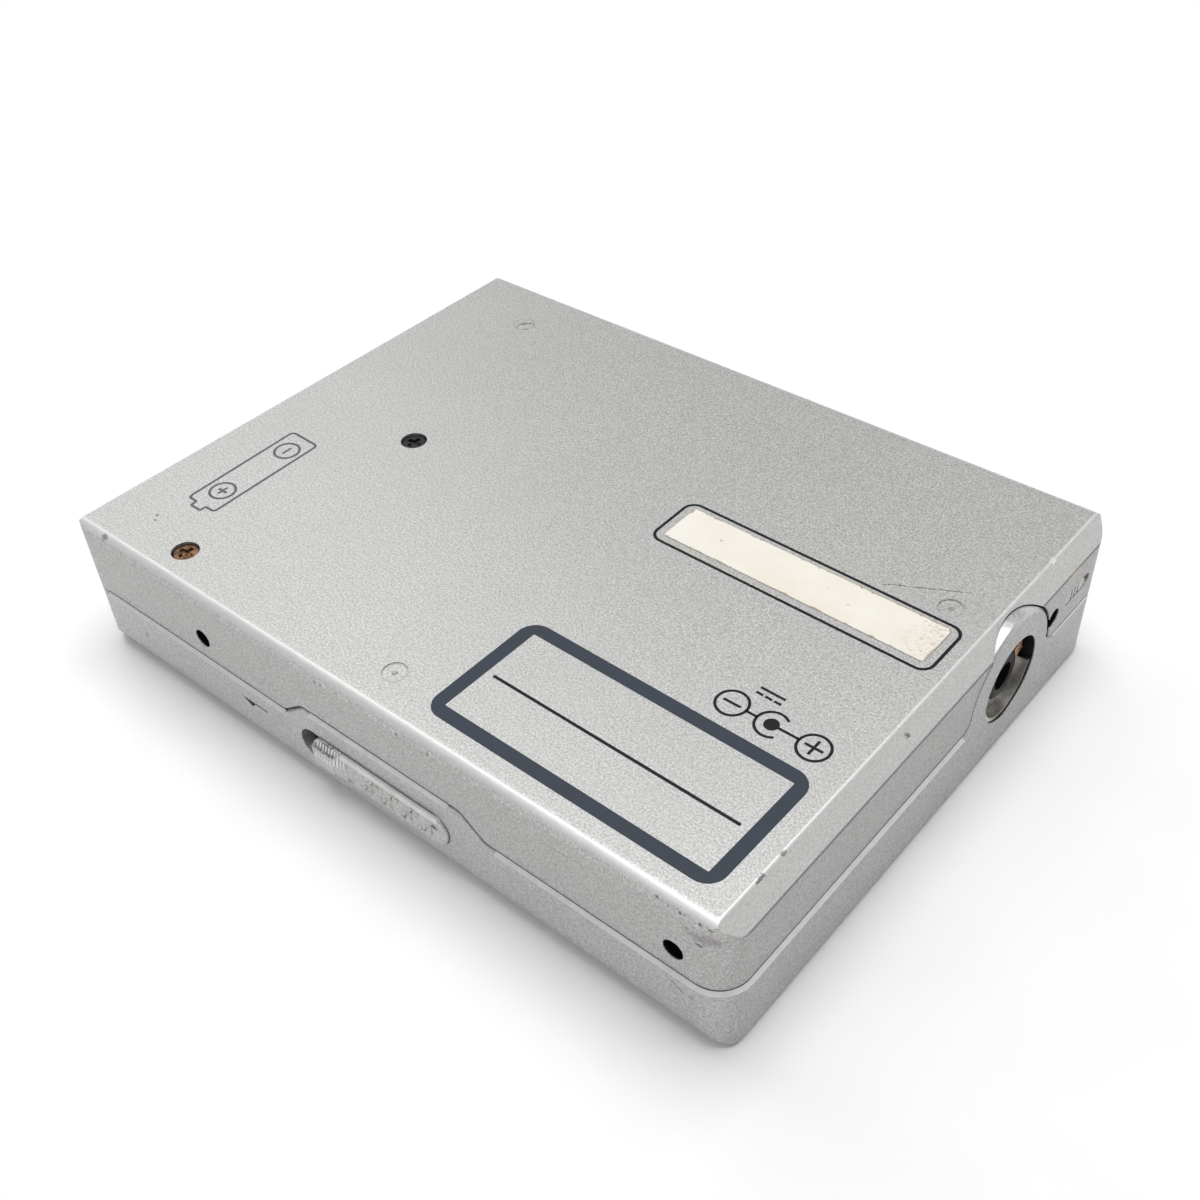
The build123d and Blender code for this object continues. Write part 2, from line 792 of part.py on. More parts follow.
def holder_springs():
    """Two bowed leaves that press the cartridge on the drive."""
    y0, y1 = disc_y - cartridge_y / 6, disc_y + cartridge_y / 6
    z0, z1 = holder_floor_z, holder_floor_z + leaf_sheet
    low = ThreePointArc((y0, z0), (disc_y, z0 + leaf_rise), (y1, z0))
    high = ThreePointArc((y1, z1), (disc_y, z1 + leaf_rise), (y0, z1))
    leaf = make_face([low, Line(low @ 1, high @ 0), high, Line(high @ 1, low @ 0)])
    return Compound(children=[
        through_x(leaf, x - leaf_width / 2, x + leaf_width / 2)
        for x in (holder_x0 + leaf_inset, holder_x1 - leaf_inset)
    ])


def open_slider():
    """The silver thumb piece, with a raised grip at the pushing end and two rows of pips."""
    face = SlotOverall(slider_length, slider_slot_height - 2 * seat_gap)
    face = Pos((slider_x0 + slider_x1) / 2, slider_slot_z) * face
    knob = through_y(face, slider_front, inner_front_y + seat_gap)
    knob = fillet(knob.faces().sort_by(Axis.Y)[0].edges(), slider_edge_radius)
    # The grip is a wedge that falls away towards the pips
    root_y = slider_front + slider_edge_radius
    crest_y = -half_y - protrusion
    wedge = outline(
        (grip_x, root_y), (grip_x + grip_lead, crest_y),
        (grip_x + grip_length * 0.6, crest_y), (grip_x + grip_length, root_y),
    )
    knob += Pos(0, 0, slider_slot_z - grip_height / 2) * extrude(wedge, grip_height)
    # The upper row has one pip fewer and stands between the pips of the lower row
    for row in (0, 1):
        for n in range(pip_count - row):
            x = pip_x0 + n * pip_pitch + row * pip_row_shift
            z = slider_slot_z + (2 * row - 1) * pip_row_rise
            pip = Pos(x, slider_front + pip_sink, z) * Sphere(pip_radius)
            knob += pip & block(x - 1, x + 1, -width, slider_front + pip_sink, 0, height)
    return knob


def latch_bar():
    """A strip behind the front wall that carries the slider's push to the lid's hook."""
    y0 = inner_front_y + seat_gap
    y1 = y0 + latch_sheet
    x1 = holder_x1
    low, high = slider_slot_z - latch_height / 2, slider_slot_z + latch_height / 2
    bar = block(slider_x0 + latch_start, x1, y0, y1, low, high)
    bar += block(x1 - lug_width, x1, y0, lid_y0 + lug_grip, slider_slot_z - lug_height, slider_slot_z)
    # A springy finger cut free from the strip brings it back
    finger_x1 = x1 - latch_finger_end
    slit_low, slit_high = slider_slot_z - latch_slit / 2, slider_slot_z + latch_slit / 2
    bar -= block(finger_x1 - latch_finger, finger_x1, y0 - overshoot, y1 + overshoot, slit_low, slit_high)
    return bar


def phone_jack():
    """The socket's black body with its collar, bored for a 3.5 mm plug."""
    y0, y1 = jack_y - jack_body_width / 2, jack_y + jack_body_width / 2
    body = block(jack_back_x, jack_front_x, y0, y1, shelf_z, board_z - run_gap)
    body = fillet(body.edges().filter_by(Axis.X), jack_body_edge)
    collar = rod_along_x(jack_front_x - seat_gap, jack_face_x, jack_y, jack_z, jack_collar_radius)
    body += chamfer(collar.edges().group_by(Axis.X)[-1], jack_collar_edge)
    return body - rod_along_x(jack_face_x - jack_bore_length, half_x, jack_y, jack_z, jack_bore_radius)


def jack_sleeve():
    """A nickel cup that lines the lower half of the jack's round recess."""
    outer = jack_hole_radius - run_gap
    x0 = jack_front_x + run_gap
    cup = rod_along_x(x0, half_x - sleeve_inset, jack_y, jack_z, outer)
    cup -= rod_along_x(x0 + sleeve_floor, half_x, jack_y, jack_z, outer - sleeve_wall)
    cup -= rod_along_x(0, half_x, jack_y, jack_z, jack_collar_radius + seat_gap)
    return cup - block(0, length, -width, width, jack_z - sleeve_drop, height)


def jack_contacts():
    """Two copper strips beside the collar."""
    x0 = jack_front_x + sleeve_floor + seat_gap
    r0, r1 = jack_collar_radius + seat_gap, jack_hole_radius - sleeve_wall - body_gap
    strip = block(x0, x0 + strip_sheet, -strip_width / 2, strip_width / 2, r0, r1)
    return Compound(children=[
        Pos(0, jack_y, jack_z) * Rot(90 * side + strip_tilt, 0, 0) * strip for side in (-1, 1)
    ])


def hold_switch():
    y0, y1 = hold_y - switch_length / 2, hold_y + switch_length / 2
    x1 = inner_end_x - screw_head_depth
    body = block(x1 - switch_depth, x1, y0, y1, board_z - switch_height, board_z - run_gap)
    body = chamfer(body.edges().filter_by(Axis.Y), switch_edge)
    room = hold_knob_length / 2 + hold_travel + body_gap
    step_z = board_z - switch_step
    return body - block(x1 - overshoot, inner_end_x, hold_y - room, hold_y + room, step_z, height)


def hold_knob():
    """The ribbed knob, at the -Y end of its slot."""
    y = hold_y - hold_slot_length / 2 + seat_gap + hold_knob_length / 2
    face = Pos(y, hold_z) * SlotOverall(hold_knob_length, hold_slot_height - 2 * seat_gap)
    knob = through_x(face, inner_end_x - body_gap, half_x - hold_sink)
    for n in (-1, 0, 1):
        groove_y = y + n * hold_groove_pitch - hold_groove / 2
        knob -= block(half_x - hold_groove, half_x, groove_y, groove_y + hold_groove, 0, height)
    return knob


def power_inlet():
    """A barrel socket with a centre pin, under the board's ear."""
    x1 = inlet_x0 + inlet_depth
    y0, y1 = inlet_y - inlet_width / 2, inlet_y + inlet_width / 2
    body = block(inlet_x0, x1, y0, y1, inlet_z - inlet_low, board_z - run_gap)
    body = fillet(body.edges().filter_by(Axis.X), inlet_edge)
    body -= rod_along_x(-length, x1 - inlet_end_wall, inlet_y, inlet_z, inlet_bore_radius)
    pin_x0, pin_x1 = inlet_x0 + inlet_pin_inset, x1 - inlet_end_wall / 2
    return body + rod_along_x(pin_x0, pin_x1, inlet_y, inlet_z, inlet_pin_radius)


def battery_cover():
    """A sliding panel in the face, with a lip up the end wall and a wide inner flange."""
    x0 = -half_x
    x1 = bay_x1 - body_gap
    lip_x1 = x0 + wall
    wide_y0, wide_y1 = bay_y0 - rib, bay_y1 + rib
    body = block(x0, x1, bay_y0, bay_y1, foot_gap, foot_gap + battery_cover_plate)
    body += block(x0, lip_x1, wide_y0, wide_y1, foot_gap, foot_gap + battery_cover_lip)
    low_edge = body.edges().filter_by(Axis.Y).group_by(Axis.Z)[0].sort_by(Axis.X)[0]
    body = fillet(low_edge, end_low_radius)
    flange_z = bay_floor_z - battery_cover_flange
    step_x = x1 - battery_cover_step
    body += block(lip_x1, step_x, wide_y0, wide_y1, flange_z, bay_floor_z)
    body += block(lip_x1, step_x, bay_y0, bay_y1, foot_gap, bay_floor_z)
    # Grip grooves in the lip
    z0, z1 = foot_gap + end_low_radius + grip_rib_depth, foot_gap + battery_cover_lip - grip_rib_depth
    for n in range(grip_rib_count):
        y = (bay_y0 + bay_y1) / 2 + (n - grip_rib_count / 2) * grip_rib_pitch
        body -= block(x0 - overshoot, x0 + grip_rib_depth, y, y + grip_rib, z0, z1)
    return body


def battery_contacts():
    """The positive plate at the front of the bay and the folded leaf at the back."""
    x = (bay_x0 + bay_x1) / 2
    x0, x1 = x - contact_plate_width / 2, x + contact_plate_width / 2
    z0, z1 = cell_z - contact_plate_height / 2, cell_z + contact_plate_height / 2
    plate = block(x0, x1, bay_y0, bay_y0 + contact_strip, z0, z1)
    button_y = bay_y0 + contact_strip
    plate += rod_along_y(x, button_y - seat_gap, button_y + button_proud, cell_z, button_radius)
    tip_y = bay_y1 - bay_spring_room + contact_strip
    leaf = outline(
        (bay_y1, z0), (bay_y1 - contact_strip, z0), (bay_y1 - contact_strip, z1 - 3 * contact_strip),
        (tip_y + contact_strip, cell_z - contact_strip), (tip_y, cell_z),
        (bay_y1 - contact_strip, z1), (bay_y1, z1),
    )
    return Compound(children=[plate, through_x(leaf, x0, x1)])


def key(n):
    """One control key, with a rim behind the wall that keeps it in."""
    place = Pos(key_x(n), key_z)
    face = place * RectangleRounded(key_size(n), key_height, key_corner)
    cap = through_y(face, key_back_y, half_y + protrusion)
    cap = fillet(cap.faces().sort_by(Axis.Y)[-1].edges(), key_edge_radius)
    rim = place * RectangleRounded(key_size(n) + 2 * key_rim, key_height, key_corner)
    return cap + through_y(rim, key_back_y, key_back_y + key_flange)


def key_switches():
    """One side-push switch on the board behind each key."""
    switches = []
    front = key_back_y - key_travel - seat_gap
    body_y1 = front - key_button_reach
    body_y0 = body_y1 - key_switch_depth
    z0, z1 = key_z - key_button_height / 2, key_z + key_button_height / 2
    for n in range(len(KEY_NAMES)):
        x = key_x(n)
        x0, x1 = x - key_switch_width / 2, x + key_switch_width / 2
        body = block(x0, x1, body_y0, body_y1, z0 - body_gap, board_z - run_gap)
        x0, x1 = x - key_button_width / 2, x + key_button_width / 2
        switches.append(body + block(x0, x1, body_y1 - seat_gap, front, z0, z1))
    return Compound(children=switches)


def mechanism_chassis():
    """A pressed plate with turned-up edges, a sled window and rod brackets."""
    plan = RectangleRounded(chassis_x1 - chassis_x0, chassis_y1 - chassis_y0, chassis_corner)
    centre = Pos((chassis_x0 + chassis_x1) / 2, (chassis_y0 + chassis_y1) / 2, chassis_z)
    base = centre * extrude(plan, chassis_sheet)
    window_half = lead_screw_spread + bracket_half
    base -= block(window_x0, window_x1, disc_y - window_half, disc_y + window_half, 0, height)
    base -= rod_along_z(disc_x, disc_y, 0, height, bearing_hole_radius)
    # Turned-up lips along the front, back and +X edges
    lip_top = chassis_top + chassis_lip
    corner_room = 3 * damper_radius
    x0, x1 = chassis_x0 + corner_room, chassis_x1 - corner_room
    for y in (chassis_y0, chassis_y1 - chassis_sheet):
        base += block(x0, x1, y, y + chassis_sheet, chassis_z, lip_top)
    y0, y1 = chassis_y0 + corner_room, disc_y - corner_room
    base += block(chassis_x1 - chassis_sheet, chassis_x1, y0, y1, chassis_z, lip_top)
    # Brackets at both ends of the guide rods and at the far end of the lead screw
    for y in (disc_y - rod_spread, disc_y + rod_spread):
        for x in (chassis_x0, window_x1):
            y0, y1 = y - bracket_half, y + bracket_half
            base += block(x, x + bracket, y0, y1, chassis_z, rod_z + bracket_half)
            base -= rod_along_x(x - overshoot, x + bracket + overshoot, y, rod_z, rod_radius + press_gap)
    x0, x1 = chassis_x0, chassis_x0 + bracket
    y0, y1 = lead_screw_y - bracket_half, lead_screw_y + bracket_half
    base += block(x0, x1, y0, y1, chassis_z, lead_screw_z + bracket_half)
    core = lead_screw_core + run_gap
    base -= rod_along_x(x0 - overshoot, x1 + overshoot, lead_screw_y, lead_screw_z, core)
    for x, y in damper_places():
        base -= rod_along_z(x, y, 0, height, damper_waist + run_gap)
    # Bay round the headphone jack, and lightening slots in the +X half
    room = jack_body_width / 2 + board_gap
    base -= block(jack_back_x - board_gap, length, jack_y - room, jack_y + room, 0, height)
    slot = extrude(SlotOverall(cartridge_x / 4, cartridge_x / 12), height)
    for side in (-1, 1):
        base -= Pos(disc_x + cartridge_x / 4, disc_y + side * cartridge_x / 4, 0) * slot
    return base


def chassis_dampers():
    """Rubber spools that carry the chassis on the corner shelves."""
    z0 = shelf_z + shelf
    spools = []
    for x, y in damper_places():
        spool = rod_along_z(x, y, z0, z0 + damper_height, damper_radius)
        groove = rod_along_z(x, y, chassis_z - run_gap, chassis_top + run_gap, damper_radius + overshoot)
        groove -= rod_along_z(x, y, 0, height, damper_waist)
        spools.append(spool - groove - rod_along_z(x, y, 0, height, screw_shank_radius + run_gap))
    return Compound(children=spools)


def chassis_screws():
    top = shelf_z + shelf + damper_height
    one = screw(damper_screw_radius, damper_screw_head, damper_height + shelf)
    return Compound(children=[Pos(x, y, top) * one for x, y in damper_places()])


def cover_screws():
    """The two screws seen in the underside."""
    seat = height - screw_head_depth
    shanks = (long_shank, short_shank)
    return Compound(children=[
        Pos(x, y, seat) * screw(screw_head_radius, screw_head_height, shank)
        for (x, y), shank in zip(cover_screw_places(), shanks)
    ])


def side_screws():
    """The small black screws in the front and the +X end."""
    one = screw(side_head_radius, side_head_height, side_shank)
    screws = [Pos(x, tab_front_y, side_screw_z) * Rot(90, 0, 0) * one for x in front_screw_xs]
    screws.append(Pos(tab_end_x, end_screw_y, side_screw_z) * Rot(0, 90, 0) * one)
    return Compound(children=screws)


def board_standoff():
    """The hexagonal stud under the second screw."""
    nut = extrude(RegularPolygon(standoff_radius, 6), cover_floor_z - seat_gap - board_top)
    nut = Pos(board_screw_x, board_screw_y, board_top) * nut
    return nut - rod_along_z(board_screw_x, board_screw_y, 0, height, screw_shank_radius + run_gap)


def main_board():
    """The circuit board, with an ear over the power inlet."""
    board = block(board_x0, board_x1, board_y0, board_y1, board_z, board_top)
    ear_y0 = bay_y1 + rib + board_gap
    board += block(bay_x0 + board_gap, board_x0, ear_y0, board_y1, board_z, board_top)
    # Notches round the end tab and the long screw's post
    room = tab_width / 2 + board_gap
    tab_x = tab_end_x - tab_sheet - board_gap
    board -= block(tab_x, length, end_screw_y - room, end_screw_y + room, 0, height)
    board -= rod_along_z(screw_x, screw_y, 0, height, post_radius + board_gap)
    return board


def chip(along, across, size_x, size_y):
    """A package at a place given as fractions of the board."""
    x = board_x0 + along * (board_x1 - board_x0)
    y = board_y0 + across * (board_y1 - board_y0)
    x0, x1 = x - size_x / 2, x + size_x / 2
    body = block(x0, x1, y - size_y / 2, y + size_y / 2, board_top, board_top + chip_height)
    return chamfer(body.edges().group_by(Axis.Z)[-1], chip_edge)


def board_chips():
    """The larger packages on the board's upper side."""
    side = board_y1 - board_y0
    processor = chip(0.5, 0.33, side / 6, side / 6)
    memory = chip(0.28, 0.7, side / 8, side / 8)
    driver = chip(0.72, 0.48, side / 7, side / 10)
    amplifier = chip(0.26, 0.2, side / 12, side / 9)
    x, y = board_x1 - jack_inset / 1.5, board_y0 + damper_inset_y0
    capacitors = [
        rod_along_z(x, y + n * capacitor_pitch, board_top, board_top + capacitor_height, capacitor_radius)
        for n in range(3)
    ]
    return Compound(children=[processor, memory, driver, amplifier] + capacitors)


def spindle_motor():
    """The flat motor on the chassis, with its bearing through the plate."""
    can = rod_along_z(disc_x, disc_y, chassis_top, chassis_top + motor_height, motor_radius)
    can = fillet(can.edges().group_by(Axis.Z)[-1], motor_edge)
    ear = Pos(motor_radius + motor_ear_reach, 0, motor_ear_sheet / 2)
    ear *= Cylinder(motor_ear_radius, motor_ear_sheet)
    for n in range(3):
        can += Pos(disc_x, disc_y, chassis_top) * Rot(0, 0, 120 * n) * ear
    can += rod_along_z(disc_x, disc_y, chassis_z - bearing_proud, chassis_top, bearing_radius)
    return can - rod_along_z(disc_x, disc_y, 0, height, shaft_radius + run_gap)


def turntable():
    """The hub that lifts and centres the disc."""
    flange_z = hub_z + hub_depth
    tip_z = hub_z - hub_tip
    half_profile = outline(
        (0, turntable_top), (turntable_radius, turntable_top),
        (turntable_radius, flange_z + turntable_edge / 2), (turntable_radius - turntable_edge, flange_z),
        (hub_radius, flange_z), (hub_radius, hub_z), (hub_radius - hub_taper, tip_z), (0, tip_z),
    )
    hub = revolve(Plane.XZ * half_profile, Axis.Z)
    # Three notches in the flange show that it turns
    notch = Pos(turntable_radius - overshoot, 0, (flange_z + turntable_top) / 2)
    notch *= Cylinder(turntable_notch, 2 * turntable_flange)
    for n in range(3):
        hub -= Rot(0, 0, 120 * n) * notch
    hub -= rod_along_z(0, 0, hub_z, height, shaft_radius)
    return Pos(disc_x, disc_y, 0) * hub


def spindle_shaft():
    return rod_along_z(disc_x, disc_y, hub_z, chassis_top + motor_height + shaft_tail, shaft_radius)


def pickup_sled():
    """The optical block on its two rods, with a turret for the lens."""
    roof_z = rod_z + sled_roof
    y0, y1 = disc_y - sled_width / 2, disc_y + sled_width / 2
    sled = block(sled_x0, sled_x1, y0, y1, sled_z0 + sled_shoulder, roof_z)
    x0, x1 = sled_x0 + sled_turret_inset, sled_x1 - sled_turret_inset
    turret_y0, turret_y1 = disc_y - sled_turret / 2, disc_y + sled_turret / 2
    sled += block(x0, x1, turret_y0, turret_y1, sled_z0, sled_z0 + sled_shoulder + body_gap)
    sled = chamfer(sled.edges().filter_by(Axis.X).group_by(Axis.Z)[-1], sled_edge)
    for y in (disc_y - rod_spread, disc_y + rod_spread):
        sled -= rod_along_x(sled_x0 - overshoot, sled_x1 + overshoot, y, rod_z, rod_radius + run_gap)
    # Pocket for the lens, and an arm that reaches to the lead screw
    pocket_top = sled_z0 + lens_height + 2 * lens_travel
    sled -= rod_along_z(lens_x, disc_y, 0, pocket_top, lens_radius + body_gap)
    arm_y1 = lead_screw_y - lead_screw_radius - seat_gap
    sled += block(sled_x0 + arm_inset, sled_x1 - arm_inset, y1 - overshoot, arm_y1, rod_z, roof_z)
    return sled


def objective_lens():
    """The lens in its ring, with a bulging face in a shallow dish."""
    z0 = sled_z0 - lens_proud
    ring = rod_along_z(lens_x, disc_y, z0, z0 + lens_height, lens_radius)
    dish = rod_along_z(lens_x, disc_y, 0, z0 + lens_dish_depth, lens_dish_radius)
    bulge = Pos(lens_x, disc_y, z0 + lens_bulge_radius - lens_travel) * Sphere(lens_bulge_radius)
    core = rod_along_z(lens_x, disc_y, z0, z0 + 2 * lens_dish_depth, lens_dish_radius)
    return ring - dish + (bulge & core)


def guide_rods():
    return Compound(children=[
        rod_along_x(rod_x0, rod_x1, disc_y + side * rod_spread, rod_z, rod_radius) for side in (-1, 1)
    ])


def lead_screw():
    """The threaded shaft; the thread's ridges are plain collars."""
    y, z = lead_screw_y, lead_screw_z
    shaft = rod_along_x(rod_x0, rod_x1 + lead_screw_tail, y, z, lead_screw_core)
    start = rod_x0 + bracket + body_gap
    pitch = (rod_x1 - bracket - start) / lead_screw_turns
    for n in range(lead_screw_turns):
        x = start + n * pitch
        shaft += rod_along_x(x, x + pitch / 2, y, z, lead_screw_radius)
    return shaft


def sled_motor():
    x0 = rod_x1 + body_gap
    x1 = x0 + stepper_length
    y, z = lead_screw_y, lead_screw_z
    can = rod_along_x(x0, x1, y, z, stepper_radius)
    can = fillet(can.edges().filter_by(GeomType.CIRCLE), stepper_edge)
    y0, y1 = y - stepper_foot / 2, y + stepper_foot / 2
    can += block(x0 + overshoot, x1 - overshoot, y0, y1, chassis_top, z)
    bore_x1 = x0 + lead_screw_tail + overshoot
    return can - rod_along_x(x0 - overshoot, bore_x1, y, z, lead_screw_core + run_gap)


NODES = {
    "bottom_cover": bottom_cover,
    "cabinet_frame": cabinet_frame,
    "lid": lid,
    "hinge_pins": hinge_pins,
    "disc_holder": disc_holder,
    "holder_rivets": holder_rivets,
    "holder_springs": holder_springs,
    "open_slider": open_slider,
    "latch_bar": latch_bar,
    "phone_jack": phone_jack,
    "jack_sleeve": jack_sleeve,
    "jack_contacts": jack_contacts,
    "hold_switch": hold_switch,
    "hold_knob": hold_knob,
    "power_inlet": power_inlet,
    "battery_cover": battery_cover,
    "battery_contacts": battery_contacts,
    "key_switches": key_switches,
    "mechanism_chassis": mechanism_chassis,
    "chassis_dampers": chassis_dampers,
    "chassis_screws": chassis_screws,
    "cover_screws": cover_screws,
    "side_screws": side_screws,
    "board_standoff": board_standoff,
    "main_board": main_board,
    "board_chips": board_chips,
    "spindle_motor": spindle_motor,
    "turntable": turntable,
    "spindle_shaft": spindle_shaft,
    "pickup_sled": pickup_sled,
    "objective_lens": objective_lens,
    "guide_rods": guide_rods,
    "lead_screw": lead_screw,
    "sled_motor": sled_motor,
}

os.makedirs("parts", exist_ok=True)
for name, make in NODES.items():
    export_step(make(), f"parts/{name}.step")
for n, name in enumerate(KEY_NAMES):
    export_step(key(n), f"parts/{name}.step")
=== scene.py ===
import json
import math

import bmesh
import bpy
from mathutils import Matrix, Vector


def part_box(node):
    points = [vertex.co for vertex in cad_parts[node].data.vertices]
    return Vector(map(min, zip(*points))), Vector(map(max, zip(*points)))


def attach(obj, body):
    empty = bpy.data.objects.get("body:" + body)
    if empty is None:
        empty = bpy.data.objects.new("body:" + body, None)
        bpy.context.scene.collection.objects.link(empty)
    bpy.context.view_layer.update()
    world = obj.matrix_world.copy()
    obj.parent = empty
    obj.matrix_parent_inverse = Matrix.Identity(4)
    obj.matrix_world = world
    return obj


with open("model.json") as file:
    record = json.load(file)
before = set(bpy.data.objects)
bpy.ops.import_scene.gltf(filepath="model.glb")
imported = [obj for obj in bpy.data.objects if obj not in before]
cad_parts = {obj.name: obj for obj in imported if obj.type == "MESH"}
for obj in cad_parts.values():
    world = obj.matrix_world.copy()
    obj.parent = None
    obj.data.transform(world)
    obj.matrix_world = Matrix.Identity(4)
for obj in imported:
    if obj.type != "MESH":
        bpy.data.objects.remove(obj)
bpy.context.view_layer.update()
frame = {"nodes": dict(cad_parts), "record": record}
record = frame["record"]
nodes = frame["nodes"]
scene = bpy.context.scene
mm = 0.001

# Sizes of the player that the drawn pieces need, in metres
half_x, half_y, top_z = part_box("bottom_cover")[1]
chamfer_width = 1.95 * mm
chamfer_height = 2.55 * mm
chamfer_top_x = half_x - chamfer_width
chamfer_low_z = top_z - chamfer_height

# The walls in millimetres, and the distance along them to each end of the corner's bend
wall_x = half_x / mm
wall_y = half_y / mm
corner_radius = 3.8
bend_start = wall_x - corner_radius
bend_end = bend_start + corner_radius * math.pi / 2

# Camera, fitted to the photo
camera_place = (94.42 * mm, -100.30 * mm, 125.78 * mm)
camera_turn = math.radians(42.084)
camera_height = math.radians(41.991)
camera_roll = math.radians(-3.079)
camera_lens = 42.264
camera_sensor = 36.0
camera_shift = (-0.00675, 0.02225)
camera_clip = (0.005, 20)


def place_camera():
    """Turned from the front towards +X, raised above the floor, then rolled about its own axis."""
    back = Vector((
        math.sin(camera_turn) * math.cos(camera_height),
        -math.cos(camera_turn) * math.cos(camera_height),
        math.sin(camera_height),
    ))
    right = (-back).cross(Vector((0, 0, 1))).normalized()
    up = right.cross(-back)
    c, s = math.cos(camera_roll), math.sin(camera_roll)
    across = right * c + up * s
    upright = up * c - right * s
    data = bpy.data.cameras.new("photo_camera")
    data.lens = camera_lens
    data.sensor_width = camera_sensor
    data.shift_x, data.shift_y = camera_shift
    data.clip_start, data.clip_end = camera_clip
    camera = bpy.data.objects.new("photo_camera", data)
    camera.matrix_world = Matrix((
        (across.x, upright.x, back.x, camera_place[0]),
        (across.y, upright.y, back.y, camera_place[1]),
        (across.z, upright.z, back.z, camera_place[2]),
        (0, 0, 0, 1),
    ))
    scene.collection.objects.link(camera)
    scene.camera = camera


# The share of a soft line's width that is fully covered
line_core = 0.4


class Shader:
    """A node material that is built up by short calls."""

    def __init__(self, name):
        self.material = bpy.data.materials.new(name)
        self.material.use_nodes = True
        self.tree = self.material.node_tree
        self.tree.nodes.clear()
        self.output = self.tree.nodes.new("ShaderNodeOutputMaterial")
        source = self.tree.nodes.new("ShaderNodeTexCoord")
        self.coords = source.outputs["Object"]
        self.normals = source.outputs["Normal"]
        self.ragged = None

    def link(self, value, socket):
        if isinstance(value, bpy.types.NodeSocket):
            self.tree.links.new(value, socket)
        else:
            socket.default_value = value

    def node(self, kind, inputs=None, **settings):
        made = self.tree.nodes.new(kind)
        for key, value in settings.items():
            setattr(made, key, value)
        for key, value in (inputs or {}).items():
            self.link(value, made.inputs[key])
        return made

    def math(self, operation, a, b=0.0):
        return self.node("ShaderNodeMath", {0: a, 1: b}, operation=operation).outputs[0]

    def times(self, a, b):
        return self.math("MULTIPLY", a, b)

    def less(self, a, b):
        return self.math("SUBTRACT", a, b)

    def length(self, vector):
        made = self.node("ShaderNodeVectorMath", {0: vector}, operation="LENGTH")
        return made.outputs["Value"]

    def axes(self, vector):
        return tuple(self.node("ShaderNodeSeparateXYZ", {0: vector}).outputs)

    def noise(self, scale, detail=2.0, roughness=0.5, coords=None):
        made = self.node("ShaderNodeTexNoise", {
            "Vector": coords or self.coords, "Scale": scale, "Detail": detail, "Roughness": roughness,
        })
        return made.outputs["Fac"]

    def ramp(self, value, low, high, to_low=0.0, to_high=1.0):
        made = self.node("ShaderNodeMapRange", {
            "Value": value, "From Min": low, "From Max": high, "To Min": to_low, "To Max": to_high,
        }, interpolation_type="SMOOTHSTEP")
        return made.outputs["Result"]

    def mix(self, factor, a, b):
        made = self.tree.nodes.new("ShaderNodeMix")
        made.data_type = "RGBA"
        self.link(factor, made.inputs["Factor"])
        self.link(colour(a), made.inputs["A"])
        self.link(colour(b), made.inputs["B"])
        return made.outputs["Result"]

    def tint(self, base, mask, amount, tone):
        """Lays a tone over a base where a mask says so."""
        return self.mix(self.times(mask, amount), base, tone)

    def bump(self, height, distance, strength):
        inputs = {"Height": height, "Distance": distance, "Strength": strength}
        return self.node("ShaderNodeBump", inputs).outputs["Normal"]

    def spot(self, place, half, turn):
        """A mask that is 1 inside a small ellipsoid with a rough edge, in millimetres and degrees."""
        if self.ragged is None:
            self.ragged = self.ramp(self.noise(2600, 3, 0.6), 0.3, 0.7, -0.45, 0.45)
        local = self.node("ShaderNodeMapping", {
            "Vector": self.coords, "Location": tuple(c * mm for c in place),
            "Rotation": tuple(math.radians(c) for c in turn), "Scale": tuple(c * mm for c in half),
        }, vector_type="TEXTURE").outputs[0]
        return self.ramp(self.math("ADD", self.length(local), self.ragged), 1.1, 0.6)

    def reach(self, a, b, place):
        """How far two coordinates lie from a place, which is in millimetres."""
        across, along = self.less(a, place[0] * mm), self.less(b, place[1] * mm)
        return self.length(self.node("ShaderNodeCombineXYZ", {0: across, 1: along}).outputs[0])

    def near(self, value, place, width):
        """A mask that is 1 where a value lies close to a place."""
        away = self.math("ABSOLUTE", self.less(value, place))
        return self.ramp(away, width, width * line_core)

    def show(self, shader):
        self.link(shader, self.output.inputs["Surface"])
        return self.material

    def surface(self, **inputs):
        made = self.node("ShaderNodeBsdfPrincipled")
        for key, value in inputs.items():
            socket = made.inputs[key.replace("_", " ").title().replace("Ior", "IOR")]
            self.link(colour(value), socket)
        return self.show(made.outputs[0])


def colour(value):
    """Adds full opacity to a plain colour, and leaves anything else alone."""
    if isinstance(value, tuple) and len(value) == 3:
        return value + (1.0,)
    return value


def scaled(tone, amount):
    return tuple(c * amount for c in tone)


# Tones in the paint, among them those of its painted highlights and painted shade
black = (0.0, 0.0, 0.0)
# The dark of dirt and chips, also used for painted shade
grime_and_shade = (0.10, 0.09, 0.085)
worn_highlight_tone = (0.93, 0.93, 0.92)
slope_light_tone = (0.88, 0.86, 0.85)
crease_shade_tone = (0.10, 0.10, 0.11)
crevice_shade_tone = (0.015, 0.015, 0.017)
bore_shade_tone = (0.008, 0.008, 0.009)

# How fine the paint's speckle, its flakes and its clouds are
speckle_scale = 4200
flake_scale = 2600
cloud_scale = 45

# How strong each layer of the paint is, painted light and shade among them
speckle_dark = 0.65
speckle_light = 1.26
cloud_dark = 0.8
cloud_amount = 0.10
slope_painted_light = 0.4
wall_shade = 0.11
end_shade = 0.12
gate_ring_shade = 0.24
gate_nub_shade = 0.32
chamfer_highlight = 0.8
crease_shade = 0.75

